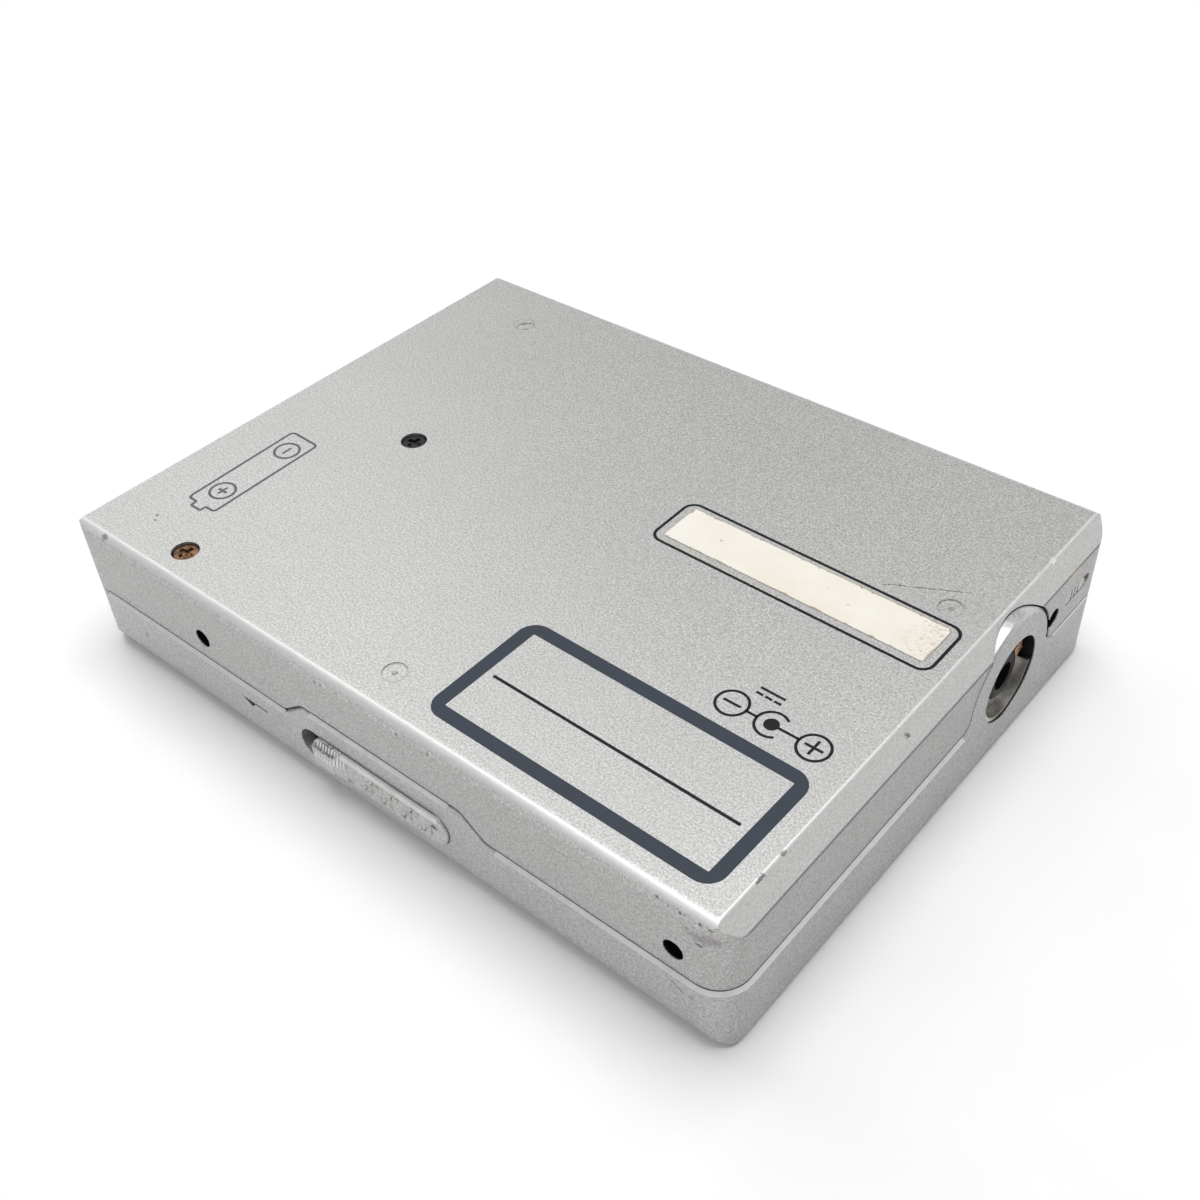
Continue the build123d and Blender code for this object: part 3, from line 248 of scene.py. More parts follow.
# Reaches and depths in the surfaces, in metres
crevice_reach = 0.9 * mm
chamfer_highlight_width = 0.26 * mm
chamfer_highlight_depth = 0.25 * mm
crease_width = 0.2 * mm
crease_depth = 0.3 * mm
bore_lip = 0.06 * mm
bore_shade_full = 0.18 * mm
bore_depth = 9 * mm
bore_fade = 1 * mm
paint_grain = 0.04 * mm
track_grain = 0.03 * mm
fine_grain = 0.02 * mm
film_grain = 0.01 * mm

# How far the painted shade of a bore reaches past its radius, and where it is full
bore_spread = 1.04
bore_core = 1.02

# The moulding's gate marks on the underside: places in millimetres, sizes in metres
gate_marks = ((-36.66, 29.96), (2.35, -33.36), (44.46, 12.28))
gate_ring = 1.45 * mm
gate_line = 0.16 * mm
gate_nub = 0.4 * mm
gate_nub_core = 0.25 * mm
gate_depth = 0.5 * mm
gate_full_depth = 0.3 * mm


def paint_edge_highlights(s, base, facing, highlight_amount, chamfer):
    """Painted highlight, partly worn paint: rounded edges that face up are painted bright; where the ends
    slope, on the front edge only.
    """
    upward = s.times(s.ramp(facing[2], 0.5, 0.85), s.ramp(facing[2], 0.998, 0.96))
    if chamfer:
        upward = s.times(upward, s.ramp(facing[1], -0.08, -0.3))
    return s.tint(base, upward, highlight_amount, worn_highlight_tone)


def paint_slope_light_and_wall_shade(s, base, facing):
    """Painted light and shade: the sloped end is painted a little paler and the walls a little darker
    than the flat face.
    """
    slope = s.times(s.ramp(facing[0], 0.3, 0.5), s.ramp(facing[2], 0.2, 0.4))
    base = s.tint(base, slope, slope_painted_light, slope_light_tone)
    return s.mix(s.ramp(facing[2], 0.4, 0.1, 0.0, wall_shade), base, black)


def draw_gates(s, base):
    """At each gate mark, a faint ring of painted shade where the dimple's edge is, with a darker nub in
    its middle.
    """
    x, y, z = s.axes(s.coords)
    upper = s.ramp(z, top_z - gate_depth, top_z - gate_full_depth)
    for gate in gate_marks:
        away = s.reach(x, y, gate)
        ring = s.times(s.near(away, gate_ring, gate_line), upper)
        base = s.tint(base, ring, gate_ring_shade, grime_and_shade)
        nub = s.times(s.ramp(away, gate_nub, gate_nub_core), upper)
        base = s.tint(base, nub, gate_nub_shade, grime_and_shade)
    return base


def paint_chamfer_highlight_and_crease_shade(s, base):
    """Painted light and shade: the slope's upper edge gets a bright painted highlight and its lower edge
    a dark line of painted shade.
    """
    x, _, z = s.axes(s.coords)
    upper = s.ramp(z, top_z - chamfer_highlight_depth, top_z)
    rim = s.times(s.near(x, chamfer_top_x, chamfer_highlight_width), upper)
    base = s.tint(base, rim, chamfer_highlight, worn_highlight_tone)
    outer = s.ramp(x, half_x - crease_depth, half_x)
    crease = s.times(s.near(z, chamfer_low_z, crease_width), outer)
    return s.tint(base, crease, crease_shade, crease_shade_tone)


def paint_bore_shade(s, base, bores):
    """Painted shade: the walls of round holes in the front and in the +X end are painted dark, down to a
    set depth.
    """
    x, y, z = s.axes(s.coords)
    for wall, middle, radius in bores:
        if wall == "front":
            level, depth = x, s.math("ADD", y, half_y)
        else:
            level, depth = y, s.less(half_x, x)
        away = s.reach(level, z, middle)
        within = s.ramp(away, radius * bore_spread * mm, radius * bore_core * mm)
        sunk = s.ramp(depth, bore_lip, bore_shade_full)
        shallow = s.ramp(depth, bore_depth, bore_depth - bore_fade)
        base = s.mix(s.times(within, s.times(sunk, shallow)), base, bore_shade_tone)
    return base


def silver_paint(name, tone, highlight_amount, wear, chamfer=False, crevice_shade=True, bores=()):
    """Silver metallic paint with a fine speckle; edges that face up get a bright painted highlight,
    partly worn paint, and faces towards +X, crevices and bores get painted shade.
    """
    s = Shader(name)
    speckle = s.noise(speckle_scale, 3, 0.75)
    flakes = s.noise(flake_scale, 2, 0.6)
    cloud = s.noise(cloud_scale, 3, 0.5)
    dark, light = scaled(tone, speckle_dark), scaled(tone, speckle_light)
    base = s.mix(s.ramp(speckle, 0.30, 0.70), dark, light)
    base = s.mix(s.ramp(cloud, 0.35, 0.65, 0.0, cloud_amount), base, scaled(tone, cloud_dark))
    facing = s.axes(s.normals)
    base = paint_edge_highlights(s, base, facing, highlight_amount, chamfer)
    if chamfer:
        base = paint_slope_light_and_wall_shade(s, base, facing)
        base = draw_gates(s, base)
        base = paint_chamfer_highlight_and_crease_shade(s, base)
    # Painted shade: faces that look along +X are darkened towards black.
    base = s.mix(s.ramp(facing[0], 0.7, 0.95, 0.0, end_shade), base, black)
    if bores:
        base = paint_bore_shade(s, base, bores)
    for place, half, turn, tint, amount in wear:
        base = s.tint(base, s.spot(place, half, turn), amount, tint)
    # Painted shade: crevices, such as the seam's gap, are darkened by ambient occlusion.
    if crevice_shade:
        sky = s.node("ShaderNodeAmbientOcclusion", {"Distance": crevice_reach}, samples=6)
        base = s.mix(s.ramp(sky.outputs["AO"], 0.14, 0.52), crevice_shade_tone, base)
    rough = s.ramp(flakes, 0.3, 0.7, 0.36, 0.50)
    grain = s.bump(speckle, paint_grain, 0.35)
    return s.surface(base_color=base, metallic=0.5, roughness=rough, normal=grain)


def edge_highlight_paint(name):
    """Painted highlight: paint worn smooth and painted nearly white along an edge, for the light that the
    edge catches.
    """
    s = Shader(name)
    polish = s.noise(700, 3, 0.6)
    base = s.mix(s.ramp(polish, 0.35, 0.75), (0.97, 0.97, 0.96), (0.86, 0.86, 0.85))
    rough = s.ramp(polish, 0.3, 0.7, 0.3, 0.42)
    grain = s.bump(polish, fine_grain, 0.3)
    return s.surface(base_color=base, metallic=0.1, roughness=rough, normal=grain)


# How much paler worn plastic and thick ink are, and how long the lines in metal are drawn out
worn_plastic = 1.8
thick_ink = 1.5
metal_stretch = 0.08


def dark_plastic(name, tone, rough=0.45, gloss=0.5):
    """Moulded plastic or rubber with a fine grain and paler, duller patches of wear."""
    s = Shader(name)
    grain = s.bump(s.noise(3000, 3, 0.6), fine_grain, 0.4)
    wear = s.noise(240, 4, 0.6)
    base = s.mix(s.ramp(wear, 0.4, 0.7), tone, scaled(tone, worn_plastic))
    dull = s.ramp(wear, 0.3, 0.7, rough - 0.08, rough + 0.12)
    return s.surface(base_color=base, roughness=dull, specular_ior_level=gloss, normal=grain)


def plated_metal(name, tone, rough=0.25, streak=1.0, dull=0.6):
    """Plated or turned metal with fine lines along X and a little tarnish."""
    s = Shader(name)
    stretch = (metal_stretch * streak, 1.0, 1.0)
    stretched = s.node("ShaderNodeMapping", {"Vector": s.coords, "Scale": stretch})
    lines = s.noise(4200, 3, 0.6, coords=stretched.outputs[0])
    tarnish = s.noise(420, 4, 0.6)
    base = s.mix(s.ramp(tarnish, 0.42, 0.7), tone, scaled(tone, dull))
    brushed = s.ramp(lines, 0.3, 0.7, rough - 0.07, rough + 0.1)
    grain = s.bump(lines, film_grain, 0.3)
    return s.surface(base_color=base, metallic=1.0, roughness=brushed, normal=grain)


# Screws in front of the first place are copper and those behind the second are black, in metres
copper_screw_y = -20 * mm
black_screw_y = -15 * mm


def plated_screws(name):
    """Copper-plated screw near the front edge; the one further back is black."""
    s = Shader(name)
    dark = s.ramp(s.axes(s.coords)[1], copper_screw_y, black_screw_y)
    tarnish = s.noise(1500, 4, 0.7)
    brown = s.mix(s.ramp(tarnish, 0.35, 0.65), (0.30, 0.17, 0.09), (0.09, 0.05, 0.03))
    base = s.mix(dark, brown, (0.012, 0.012, 0.014))
    metal = s.less(0.8, s.times(dark, 0.6))
    rough = s.ramp(tarnish, 0.3, 0.7, 0.4, 0.6)
    grain = s.bump(tarnish, fine_grain, 0.5)
    return s.surface(base_color=base, metallic=metal, roughness=rough, normal=grain)


def circuit_mask(name):
    """Green solder mask with faint copper tracks under it."""
    s = Shader(name)
    tracks = s.node("ShaderNodeTexBrick", {
        "Vector": s.coords, "Scale": 420.0, "Mortar Size": 0.06, "Mortar Smooth": 0.2,
    }).outputs["Fac"]
    mottle = s.noise(300, 3)
    base = s.mix(tracks, (0.018, 0.10, 0.05), (0.03, 0.17, 0.08))
    base = s.mix(s.ramp(mottle, 0.3, 0.8, 0.0, 0.4), base, (0.012, 0.07, 0.035))
    return s.surface(base_color=base, roughness=0.32, normal=s.bump(tracks, track_grain, 0.5))


def coated_glass(name):
    """Glass whose coating shows blue from the front and violet from the side, with a light smear."""
    s = Shader(name)
    sheen = s.node("ShaderNodeLayerWeight", {"Blend": 0.4}).outputs["Facing"]
    base = s.mix(sheen, (0.30, 0.42, 0.62), (0.55, 0.30, 0.60))
    smear = s.ramp(s.noise(900, 3), 0.3, 0.8, 0.03, 0.1)
    return s.surface(base_color=base, roughness=smear, ior=1.52, coat_weight=0.6, transmission_weight=0.5)


def printed_ink(name, tone):
    """Matt print, slightly uneven and thin in places; also the painted shade of a groove and of the
    seam's gap.
    """
    s = Shader(name)
    thin = s.noise(2400, 3, 0.7)
    patch = s.noise(260, 3, 0.6)
    base = s.mix(s.ramp(thin, 0.66, 0.85, 0.0, 0.3), tone, (0.25, 0.25, 0.25))
    base = s.mix(s.ramp(patch, 0.35, 0.75, 0.0, 0.35), base, scaled(tone, thick_ink))
    rough = s.ramp(patch, 0.3, 0.7, 0.5, 0.65)
    grain = s.bump(thin, film_grain, 0.4)
    return s.surface(base_color=base, roughness=rough, specular_ior_level=0.25, normal=grain)


# The paper label: sizes in millimetres, then widths of its ragged edge in metres, then tones
sticker = ((10.62, 3.18), (46.55, 2.67), (46.57, 9.19), (10.55, 9.62))
sticker_corner = 0.6
sticker_rise = 0.06
soil_reach = 6
edge_line = 0.16 * mm
edge_ragged = 0.3 * mm
paper_cream = (0.90, 0.87, 0.80)
paper_yellow = (0.86, 0.81, 0.72)
paper_line = (0.26, 0.19, 0.12)
paper_soil = (0.38, 0.25, 0.13)
paper_fleck = (0.42, 0.32, 0.2)


def cream_paper(name):
    """A blank paper label: cream, a thin brown line along its edge, soiled at the +X end."""
    s = Shader(name)
    base = s.mix(s.ramp(s.noise(140, 3, 0.6), 0.3, 0.7), paper_cream, paper_yellow)
    x, y, _ = s.axes(s.coords)
    (left, low), (right, right_low), _, (_, high) = sticker
    from_left = s.less(x, left * mm)
    level = s.less(y, s.times(from_left, (right_low - low) / (right - left)))
    across = s.math("MINIMUM", s.less(level, low * mm), s.less(high * mm, level))
    along = s.math("MINIMUM", from_left, s.less(right * mm, x))
    ragged = s.ramp(s.noise(900, 3, 0.6), 0.5, 0.75, 0.0, edge_ragged)
    line = s.ramp(s.less(s.math("MINIMUM", across, along), ragged), edge_line, 0.0)
    base = s.tint(base, line, 0.7, paper_line)
    far = s.ramp(x, (right - soil_reach) * mm, right * mm)
    soil = s.times(far, s.ramp(s.noise(2400, 4, 0.8), 0.50, 0.66))
    base = s.tint(base, soil, 0.7, paper_soil)
    fleck = s.ramp(s.noise(900, 2, 0.5), 0.72, 0.78)
    base = s.tint(base, fleck, 0.6, paper_fleck)
    fibre = s.bump(s.noise(3200, 4, 0.7), fine_grain, 0.5)
    return s.surface(base_color=base, roughness=0.8, normal=fibre)


def circle(x, y, radius, start=0.0, end=360.0, steps=48):
    """Points on an arc, in degrees; a whole circle leaves out the repeated last point."""
    count = steps if end - start >= 360 else steps + 1
    turns = [math.radians(start + (end - start) * n / steps) for n in range(count)]
    return [(x + radius * math.cos(a), y + radius * math.sin(a)) for a in turns]


def rounded_path(points, radius, steps=6):
    """An outline with each corner rounded; radius may differ by corner, and 0 keeps it sharp."""
    radii = radius if isinstance(radius, (list, tuple)) else [radius] * len(points)
    path = []
    for n, (corner, r) in enumerate(zip(points, radii)):
        here = Vector(corner)
        if r <= 0:
            path.append(tuple(here))
            continue
        before = (Vector(points[n - 1]) - here).normalized()
        after = (Vector(points[(n + 1) % len(points)]) - here).normalized()
        half = before.angle(after) / 2
        reach = r / math.tan(half)
        middle = here + (before + after).normalized() * (r / math.sin(half))
        a, b = here + before * reach - middle, here + after * reach - middle
        for step in range(steps + 1):
            spoke = a.lerp(b, step / steps).normalized() * r
            path.append(tuple(middle + spoke))
    return path


# The least share of a corner's turn that a mitre follows
mitre_limit = 0.3


def offset_path(points, distance, closed):
    """Moves a path sideways by a distance, with mitred corners."""
    moved = []
    for n, point in enumerate(points):
        here = Vector(point)
        last = Vector(points[n - 1]) if closed or n else None
        following = Vector(points[(n + 1) % len(points)]) if closed or n < len(points) - 1 else None
        sides = []
        for a, b in ((last, here), (here, following)):
            if a is not None and b is not None and (b - a).length > 0:
                way = (b - a).normalized()
                sides.append(Vector((-way.y, way.x)))
        side = sum(sides, Vector((0, 0))).normalized()
        moved.append(tuple(here + side * (distance / max(side.dot(sides[0]), mitre_limit))))
    return moved


def add_mesh(name, shape, material):
    """Turns a drawn shape into an object of the scene."""
    data = bpy.data.meshes.new(name)
    shape.to_mesh(data)
    shape.free()
    data.materials.append(material)
    piece = bpy.data.objects.new(name, data)
    scene.collection.objects.link(piece)
    return piece


# How far print stands out of a face and reaches into it, in millimetres
ink_rise = 0.012
ink_sink = 0.03


class Marks:
    """One thin printed piece on a face, drawn in millimetres across (u) and along (v) the face."""

    def __init__(self, name, origin, across, along, body, slot, rise=ink_rise):
        self.name, self.body, self.slot = name, body, slot
        self.origin, self.across, self.along = Vector(origin), Vector(across), Vector(along)
        self.outward = self.across.cross(self.along)
        self.rise, self.sink = rise, ink_sink
        self.mesh = bmesh.new()

    def point(self, u, v, height):
        place = self.origin + self.across * u + self.along * v + self.outward * height
        return self.mesh.verts.new(place * mm)

    def skin(self, edges, closed):
        """Joins each path to the next with faces, and caps both ends of an open strip."""
        loops = [[self.point(u, v, height) for u, v in path] for path, height in edges]
        count = len(loops[0])
        for n in range(count if closed else count - 1):
            after = (n + 1) % count
            for one, two in zip(loops, loops[1:]):
                self.mesh.faces.new((one[n], one[after], two[after], two[n]))
        if not closed:
            for n in (0, count - 1):
                self.mesh.faces.new([loop[n] for loop in loops])

    def band(self, outer, inner, closed=True):
        """Fills between two paths with the same number of points."""
        low, high = -self.sink, self.rise
        self.skin([(outer, low), (outer, high), (inner, high), (inner, low)], closed)

    def stroke(self, points, width, closed=False):
        """A line of even width along a path."""
        outer = offset_path(points, -width / 2, closed)
        self.band(outer, offset_path(points, width / 2, closed), closed)

    def fill(self, points):
        """A solid patch inside a closed path."""
        top = [self.point(u, v, self.rise) for u, v in points]
        low = [self.point(u, v, -self.sink) for u, v in points]
        self.mesh.faces.new(top)
        for n in range(len(points)):
            after = (n + 1) % len(points)
            self.mesh.faces.new((low[n], low[after], top[after], top[n]))

    def finish(self, material):
        bmesh.ops.recalc_face_normals(self.mesh, faces=self.mesh.faces)
        piece = add_mesh(self.name, self.mesh, material)
        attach(piece, self.body)


class WallMarks(Marks):
    """Marks on the front wall, the corner and the +X end: u runs along the wall and v is height."""

    def __init__(self, name, body, slot, rise=ink_rise):
        super().__init__(name, (0, 0, 0), (1, 0, 0), (0, 1, 0), body, slot, rise)

    def point(self, u, v, height):
        x, y, turn = wall_place(u)
        place = Vector((x + math.sin(turn) * height, y - math.cos(turn) * height, v))
        return self.mesh.verts.new(place * mm)

    def bead(self, path, drop, rise):
        """A strip that leans out from the path down to its lower edge."""
        below = offset_path(path, -drop, False)
        edges = [(path, -self.sink), (path, self.rise), (below, rise), (below, -self.sink)]
        self.skin(edges, closed=False)


def wall_place(u):
    """The place on the wall at a distance along it, and how far the wall has turned there."""
    if u <= bend_start:
        return u, -wall_y, 0.0
    if u <= bend_end:
        turn = (u - bend_start) / corner_radius
        x = bend_start + corner_radius * math.sin(turn)
        return x, corner_radius - wall_y - corner_radius * math.cos(turn), turn
    return wall_x, corner_radius - wall_y + u - bend_end, math.pi / 2


def end_u(y):
    """The distance along the wall of a place on the +X end."""
    return bend_end + y + wall_y - corner_radius


def dense_path(points, step=0.4):
    """Adds points along a path, so that it can follow the corner."""
    path = []
    for a, b in zip(points, points[1:]):
        count = max(1, math.ceil((Vector(b) - Vector(a)).length / step))
        path += [tuple(Vector(a).lerp(Vector(b), n / count)) for n in range(count)]
    return path + [points[-1]]


def top_marks(name, rise=ink_rise):
    """Marks on the underside, which faces up: u is X and v is Y."""
    face = ((0, 0, top_z / mm), (1, 0, 0), (0, 1, 0))
    return Marks(name, *face, "main_body", "silver_plastic", rise)


# Marks on the underside, in millimetres; the gap in the contact's ring is in degrees each way
cell_outline = (
    (-42.57, -9.42), (-42.10, -27.06), (-40.55, -27.07), (-40.5, -27.97),
    (-38.65, -27.98), (-38.65, -27.09), (-37.0, -27.1), (-37.47, -9.62),
)
cell_corners = (0.6, 0.5, 0.15, 0.2, 0.2, 0.15, 0.5, 0.6)
cell_plus = (-39.66, -23.61)
cell_minus = (-39.85, -12.79)
cell_ring = 1.66
cell_sign = 0.78
cell_line = 0.36
polarity_minus = (34.05, -14.70)
polarity_contact = (39.11, -14.76)
polarity_plus = (44.36, -14.83)
polarity_ring = 1.83
polarity_line = 0.34
polarity_sign = 1.12
contact_dot = 0.87
contact_gap = 49
current_line = ((35.06, -10.94), (38.26, -10.98))
current_dashes = ((35.07, -11.80), (38.27, -11.84))
dash_count = 3
dash_pitch = 1.3
label_outer = ((8.5, -35.24), (47.13, -35.6), (47.2, -18.28), (8.51, -17.69))
label_inner = ((10.26, -33.5), (45.45, -33.94), (45.54, -19.98), (10.3, -19.48))
label_corner = 2.3
label_inner_corner = 0.12
label_rule = ((11.28, -27.1), (44.48, -27.53))
label_rule_width = 0.4
thin_frame = ((9.5, 2.07), (47.73, 1.48), (47.7, 9.72), (9.46, 10.43))
thin_corner = 1.5
thin_line = 0.4

# The sign by the opening slider, in millimetres on the front wall
arrow_tip = (-21.1, 7.24)
arrow_end = (-16.45, 7.11)
arrow_barb = (-19.35, 6.35)
arrow_root = (-18.6, 7.17)
arrow_line = 0.2


def draw_cell_mark(ink):
    """The outline of a cell with its plus and minus signs, in painted shade as dark as a shallow groove.
    """
    marks = top_marks("cell_mark")
    marks.stroke(rounded_path(cell_outline, cell_corners), cell_line, closed=True)
    for x, y in (cell_plus, cell_minus):
        marks.stroke(circle(x, y, cell_ring), cell_line, closed=True)
        marks.stroke([(x, y - cell_sign), (x, y + cell_sign)], cell_line)
    x, y = cell_plus
    for side in (-1, 1):
        marks.stroke([(x + side * cell_line / 2, y), (x + side * cell_sign, y)], cell_line)
    marks.finish(ink)


def draw_polarity(ink):
    """The sign for the plug's polarity, with the sign for direct current above it."""
    marks = top_marks("polarity_mark")
    for x, y in (polarity_minus, polarity_plus):
        marks.stroke(circle(x, y, polarity_ring), polarity_line, closed=True)
        marks.stroke([(x - polarity_sign, y), (x + polarity_sign, y)], polarity_line)
    x, y = polarity_plus
    for side in (-1, 1):
        marks.stroke([(x, y + side * polarity_line / 2), (x, y + side * polarity_sign)], polarity_line)
    x, y = polarity_contact
    marks.stroke(circle(x, y, polarity_ring, contact_gap, 360 - contact_gap), polarity_line)
    marks.fill(circle(x, y, contact_dot))
    marks.stroke([(polarity_minus[0] + polarity_ring, y), (x - polarity_ring, y)], polarity_line)
    marks.stroke([(x + contact_dot, y), (polarity_plus[0] - polarity_ring, y)], polarity_line)
    marks.stroke(current_line, polarity_line)
    start, end = Vector(current_dashes[0]), Vector(current_dashes[1])
    dash = (end - start) / ((dash_count - 1) * dash_pitch + 1)
    for n in range(dash_count):
        here = start + dash * n * dash_pitch
        marks.stroke([tuple(here), tuple(here + dash)], polarity_line)
    marks.finish(ink)


def draw_label_frames(heavy_ink, thin_ink):
    """Two empty frames: one heavy with a rule across it, one thin round the paper label."""
    marks = top_marks("label_frame")
    marks.band(rounded_path(label_outer, label_corner), rounded_path(label_inner, label_inner_corner))
    marks.finish(heavy_ink)
    marks = top_marks("label_rule")
    marks.stroke(label_rule, label_rule_width)
    marks.finish(thin_ink)
    marks = top_marks("paper_frame")
    marks.stroke(rounded_path(thin_frame, thin_corner), thin_line, closed=True)
    marks.finish(thin_ink)


def draw_sticker():
    """The blank paper label in the thin frame."""
    marks = top_marks("paper_label", sticker_rise)
    marks.fill(rounded_path(sticker, sticker_corner))
    marks.finish(cream_paper("yellowed_paper"))


def draw_arrow(ink):
    """The half arrow that shows which way the slider opens the player."""
    face = ((0, -wall_y, 0), (1, 0, 0), (0, 0, 1))
    marks = Marks("slide_arrow", *face, "main_body", "frame_plastic")
    marks.fill([arrow_tip, arrow_barb, arrow_root])
    marks.stroke([arrow_root, arrow_end], arrow_line)
    marks.finish(ink)


# The seam between the shells, in millimetres along and up the wall; arcs as start, end and steps
seam_z = 10.25
seam_left = -47.0
seam_shade = 0.15
tongue_z = 12.85
tongue = ((-12.2, seam_z), (-8.8, tongue_z), (16.6, tongue_z), (20.0, seam_z))
tongue_bend = 1.6
boss_y = 15.6
boss_z = 10.9
boss_radius = 9.1
boss_bend = 1.6
boss_arc = (174, 130, 12)
boss_bend_arc = (-80, -10, 8)
flank_step = 1.0
rim_drop = 0.34
rim_rise = 0.44
fine_rim_drop = 0.25
fine_rim_rise = 0.1


def draw_seam(shade, rim_highlight_paint):
    """The seam's gap as a dark line of painted shadow, and under it the edge bead in bright paint as a
    painted highlight.
    """
    side = boss_radius + boss_bend
    before = end_u(boss_y - side)
    after = end_u(boss_y + side)
    run = rounded_path([(seam_left, seam_z), *tongue, (before, seam_z)], [0] + [tongue_bend] * 4 + [0])
    back = dense_path([(after, seam_z), (end_u(wall_y - corner_radius), seam_z)])
    flank = [(before, seam_z)] + circle(before, seam_z + boss_bend, boss_bend, *boss_bend_arc)
    flank += circle(end_u(boss_y), boss_z, boss_radius, *boss_arc)
    marks = WallMarks("seam_line", "main_body", "frame_plastic")
    for path in (dense_path(run), back, dense_path(flank, flank_step)):
        marks.stroke(offset_path(path, seam_shade / 2, False), seam_shade)
    marks.finish(shade)
    marks = WallMarks("seam_rim", "main_body", "frame_plastic")
    stretches = (
        (seam_left, tongue[0][0], seam_z),
        (tongue[3][0] + tongue_bend, before, seam_z),
        (tongue[1][0] + tongue_bend, tongue[2][0] - tongue_bend, tongue_z),
    )
    for start, end, z in stretches:
        marks.bead(dense_path([(start, z), (end, z)]), rim_drop, rim_rise)
    marks.bead(back, fine_rim_drop, fine_rim_rise)
    marks.finish(rim_highlight_paint)


# The opening slider's edge, its ribbed grip and its pips with painted highlights, in millimetres on its
# face
slider_edge = ((-2.6, 9.2), (13.0, 9.2))
slider_stand = 0.41
slider_edge_drop = 0.4
slider_edge_rise = 0.68
grip_start = -6.52
grip_end = -2.2
grip_flat_end = -4.1
grip_rib_count = 10
grip_rib_width = 0.27
grip_top = 9.1
grip_drop = 1.9
grip_stand = 1.14
pip_xs = (1.8, 5.0, 8.2, 11.4)
pip_z = 7.0
pip_rise = 0.85
pip_shift = 1.3
pip_top = 0.5
pip_half = 0.2
pip_drop = 0.22
pip_stand = 0.75
pip_places = [(x + row * pip_shift / 2, pip_z + row * pip_rise) for row in (-1, 1) for x in pip_xs]


def draw_slider_marks(rim_highlight_paint):
    """The slider's upper edge, the ribs of its grip and the worn tops of its pips, in near-white paint as
    painted highlights.
    """
    marks = WallMarks("slider_edge", "slider", "slider_plastic", slider_stand)
    marks.bead(dense_path(slider_edge), slider_edge_drop, slider_edge_rise)
    for u, v in pip_places:
        marks.bead([(u - pip_half, v + pip_top), (u + pip_half, v + pip_top)], pip_drop, pip_stand)
    marks.finish(rim_highlight_paint)
    marks = WallMarks("grip_ribs", "slider", "slider_plastic", slider_stand)
    for n in range(grip_rib_count):
        x = grip_start + (grip_end - grip_start) * n / (grip_rib_count - 1)
        fall = max(0.0, (x - grip_flat_end) / (grip_end - grip_flat_end))
        stand = grip_stand + (slider_edge_rise - grip_stand) * fall
        marks.bead([(x, grip_top), (x + grip_rib_width, grip_top)], grip_drop, stand)
    marks.finish(rim_highlight_paint)


# The usual signs on the keys, in millimetres from the middle of each key
sign_half = 0.6
sign_bar = 0.13
stop_half = 0.8 * sign_half
plus_arm = (sign_half - sign_bar) / 2


def triangle(x, way):
    """An arrow head about x that points along u, or against it."""
    tail, tip = x - way * sign_half / 2, x + way * sign_half / 2
    return [(tail, -sign_half), (tip, 0), (tail, sign_half)]


def bar(x, y, half_u, half_v):
    """A box about a point."""
    left, right = x - half_u, x + half_u
    low, high = y - half_v, y + half_v
    return [(left, low), (right, low), (right, high), (left, high)]


def skip_sign(way):
    """Two arrow heads that run against a bar."""
    heads = [triangle(-way * sign_half, way), triangle(0, way)]
    return heads + [bar(way * sign_half, 0, sign_bar, sign_half)]


minus_sign = [bar(0, 0, sign_half, sign_bar)]
plus_arms = [bar(0, side * (sign_bar + plus_arm), sign_bar, plus_arm) for side in (-1, 1)]
KEY_SIGNS = {
    "play_key": [triangle(0, 1)],
    "stop_key": [bar(0, 0, stop_half, stop_half)],
    "skip_back_key": skip_sign(-1),
    "skip_forward_key": skip_sign(1),
    "volume_down_key": minus_sign,
    "volume_up_key": minus_sign + plus_arms,
}


def draw_key_signs(ink):
    """One sign on each key, upright when the player lies with its lid up."""
    for item in record["subparts"]:
        node = item["node"]
        if node not in KEY_SIGNS:
            continue
        low, high = (Vector(corner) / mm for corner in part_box(node))
        face = (((low.x + high.x) / 2, high.y, (low.z + high.z) / 2), (1, 0, 0), (0, 0, -1))
        marks = Marks(node + "_sign", *face, node + "_cap", item["material_slot"])
        for outline in KEY_SIGNS[node]:
            marks.fill(outline)
        marks.finish(ink)


# Round holes painted dark inside as shade: wall, place in millimetres and radius
screw_bores = (("front", (-26.5, 13.5), 1.6), ("front", (45.1, 13.5), 1.6), ("end", (25.4, 13.5), 1.6))
jack_bores = (("end", (15.9, 10.7), 5.65),)
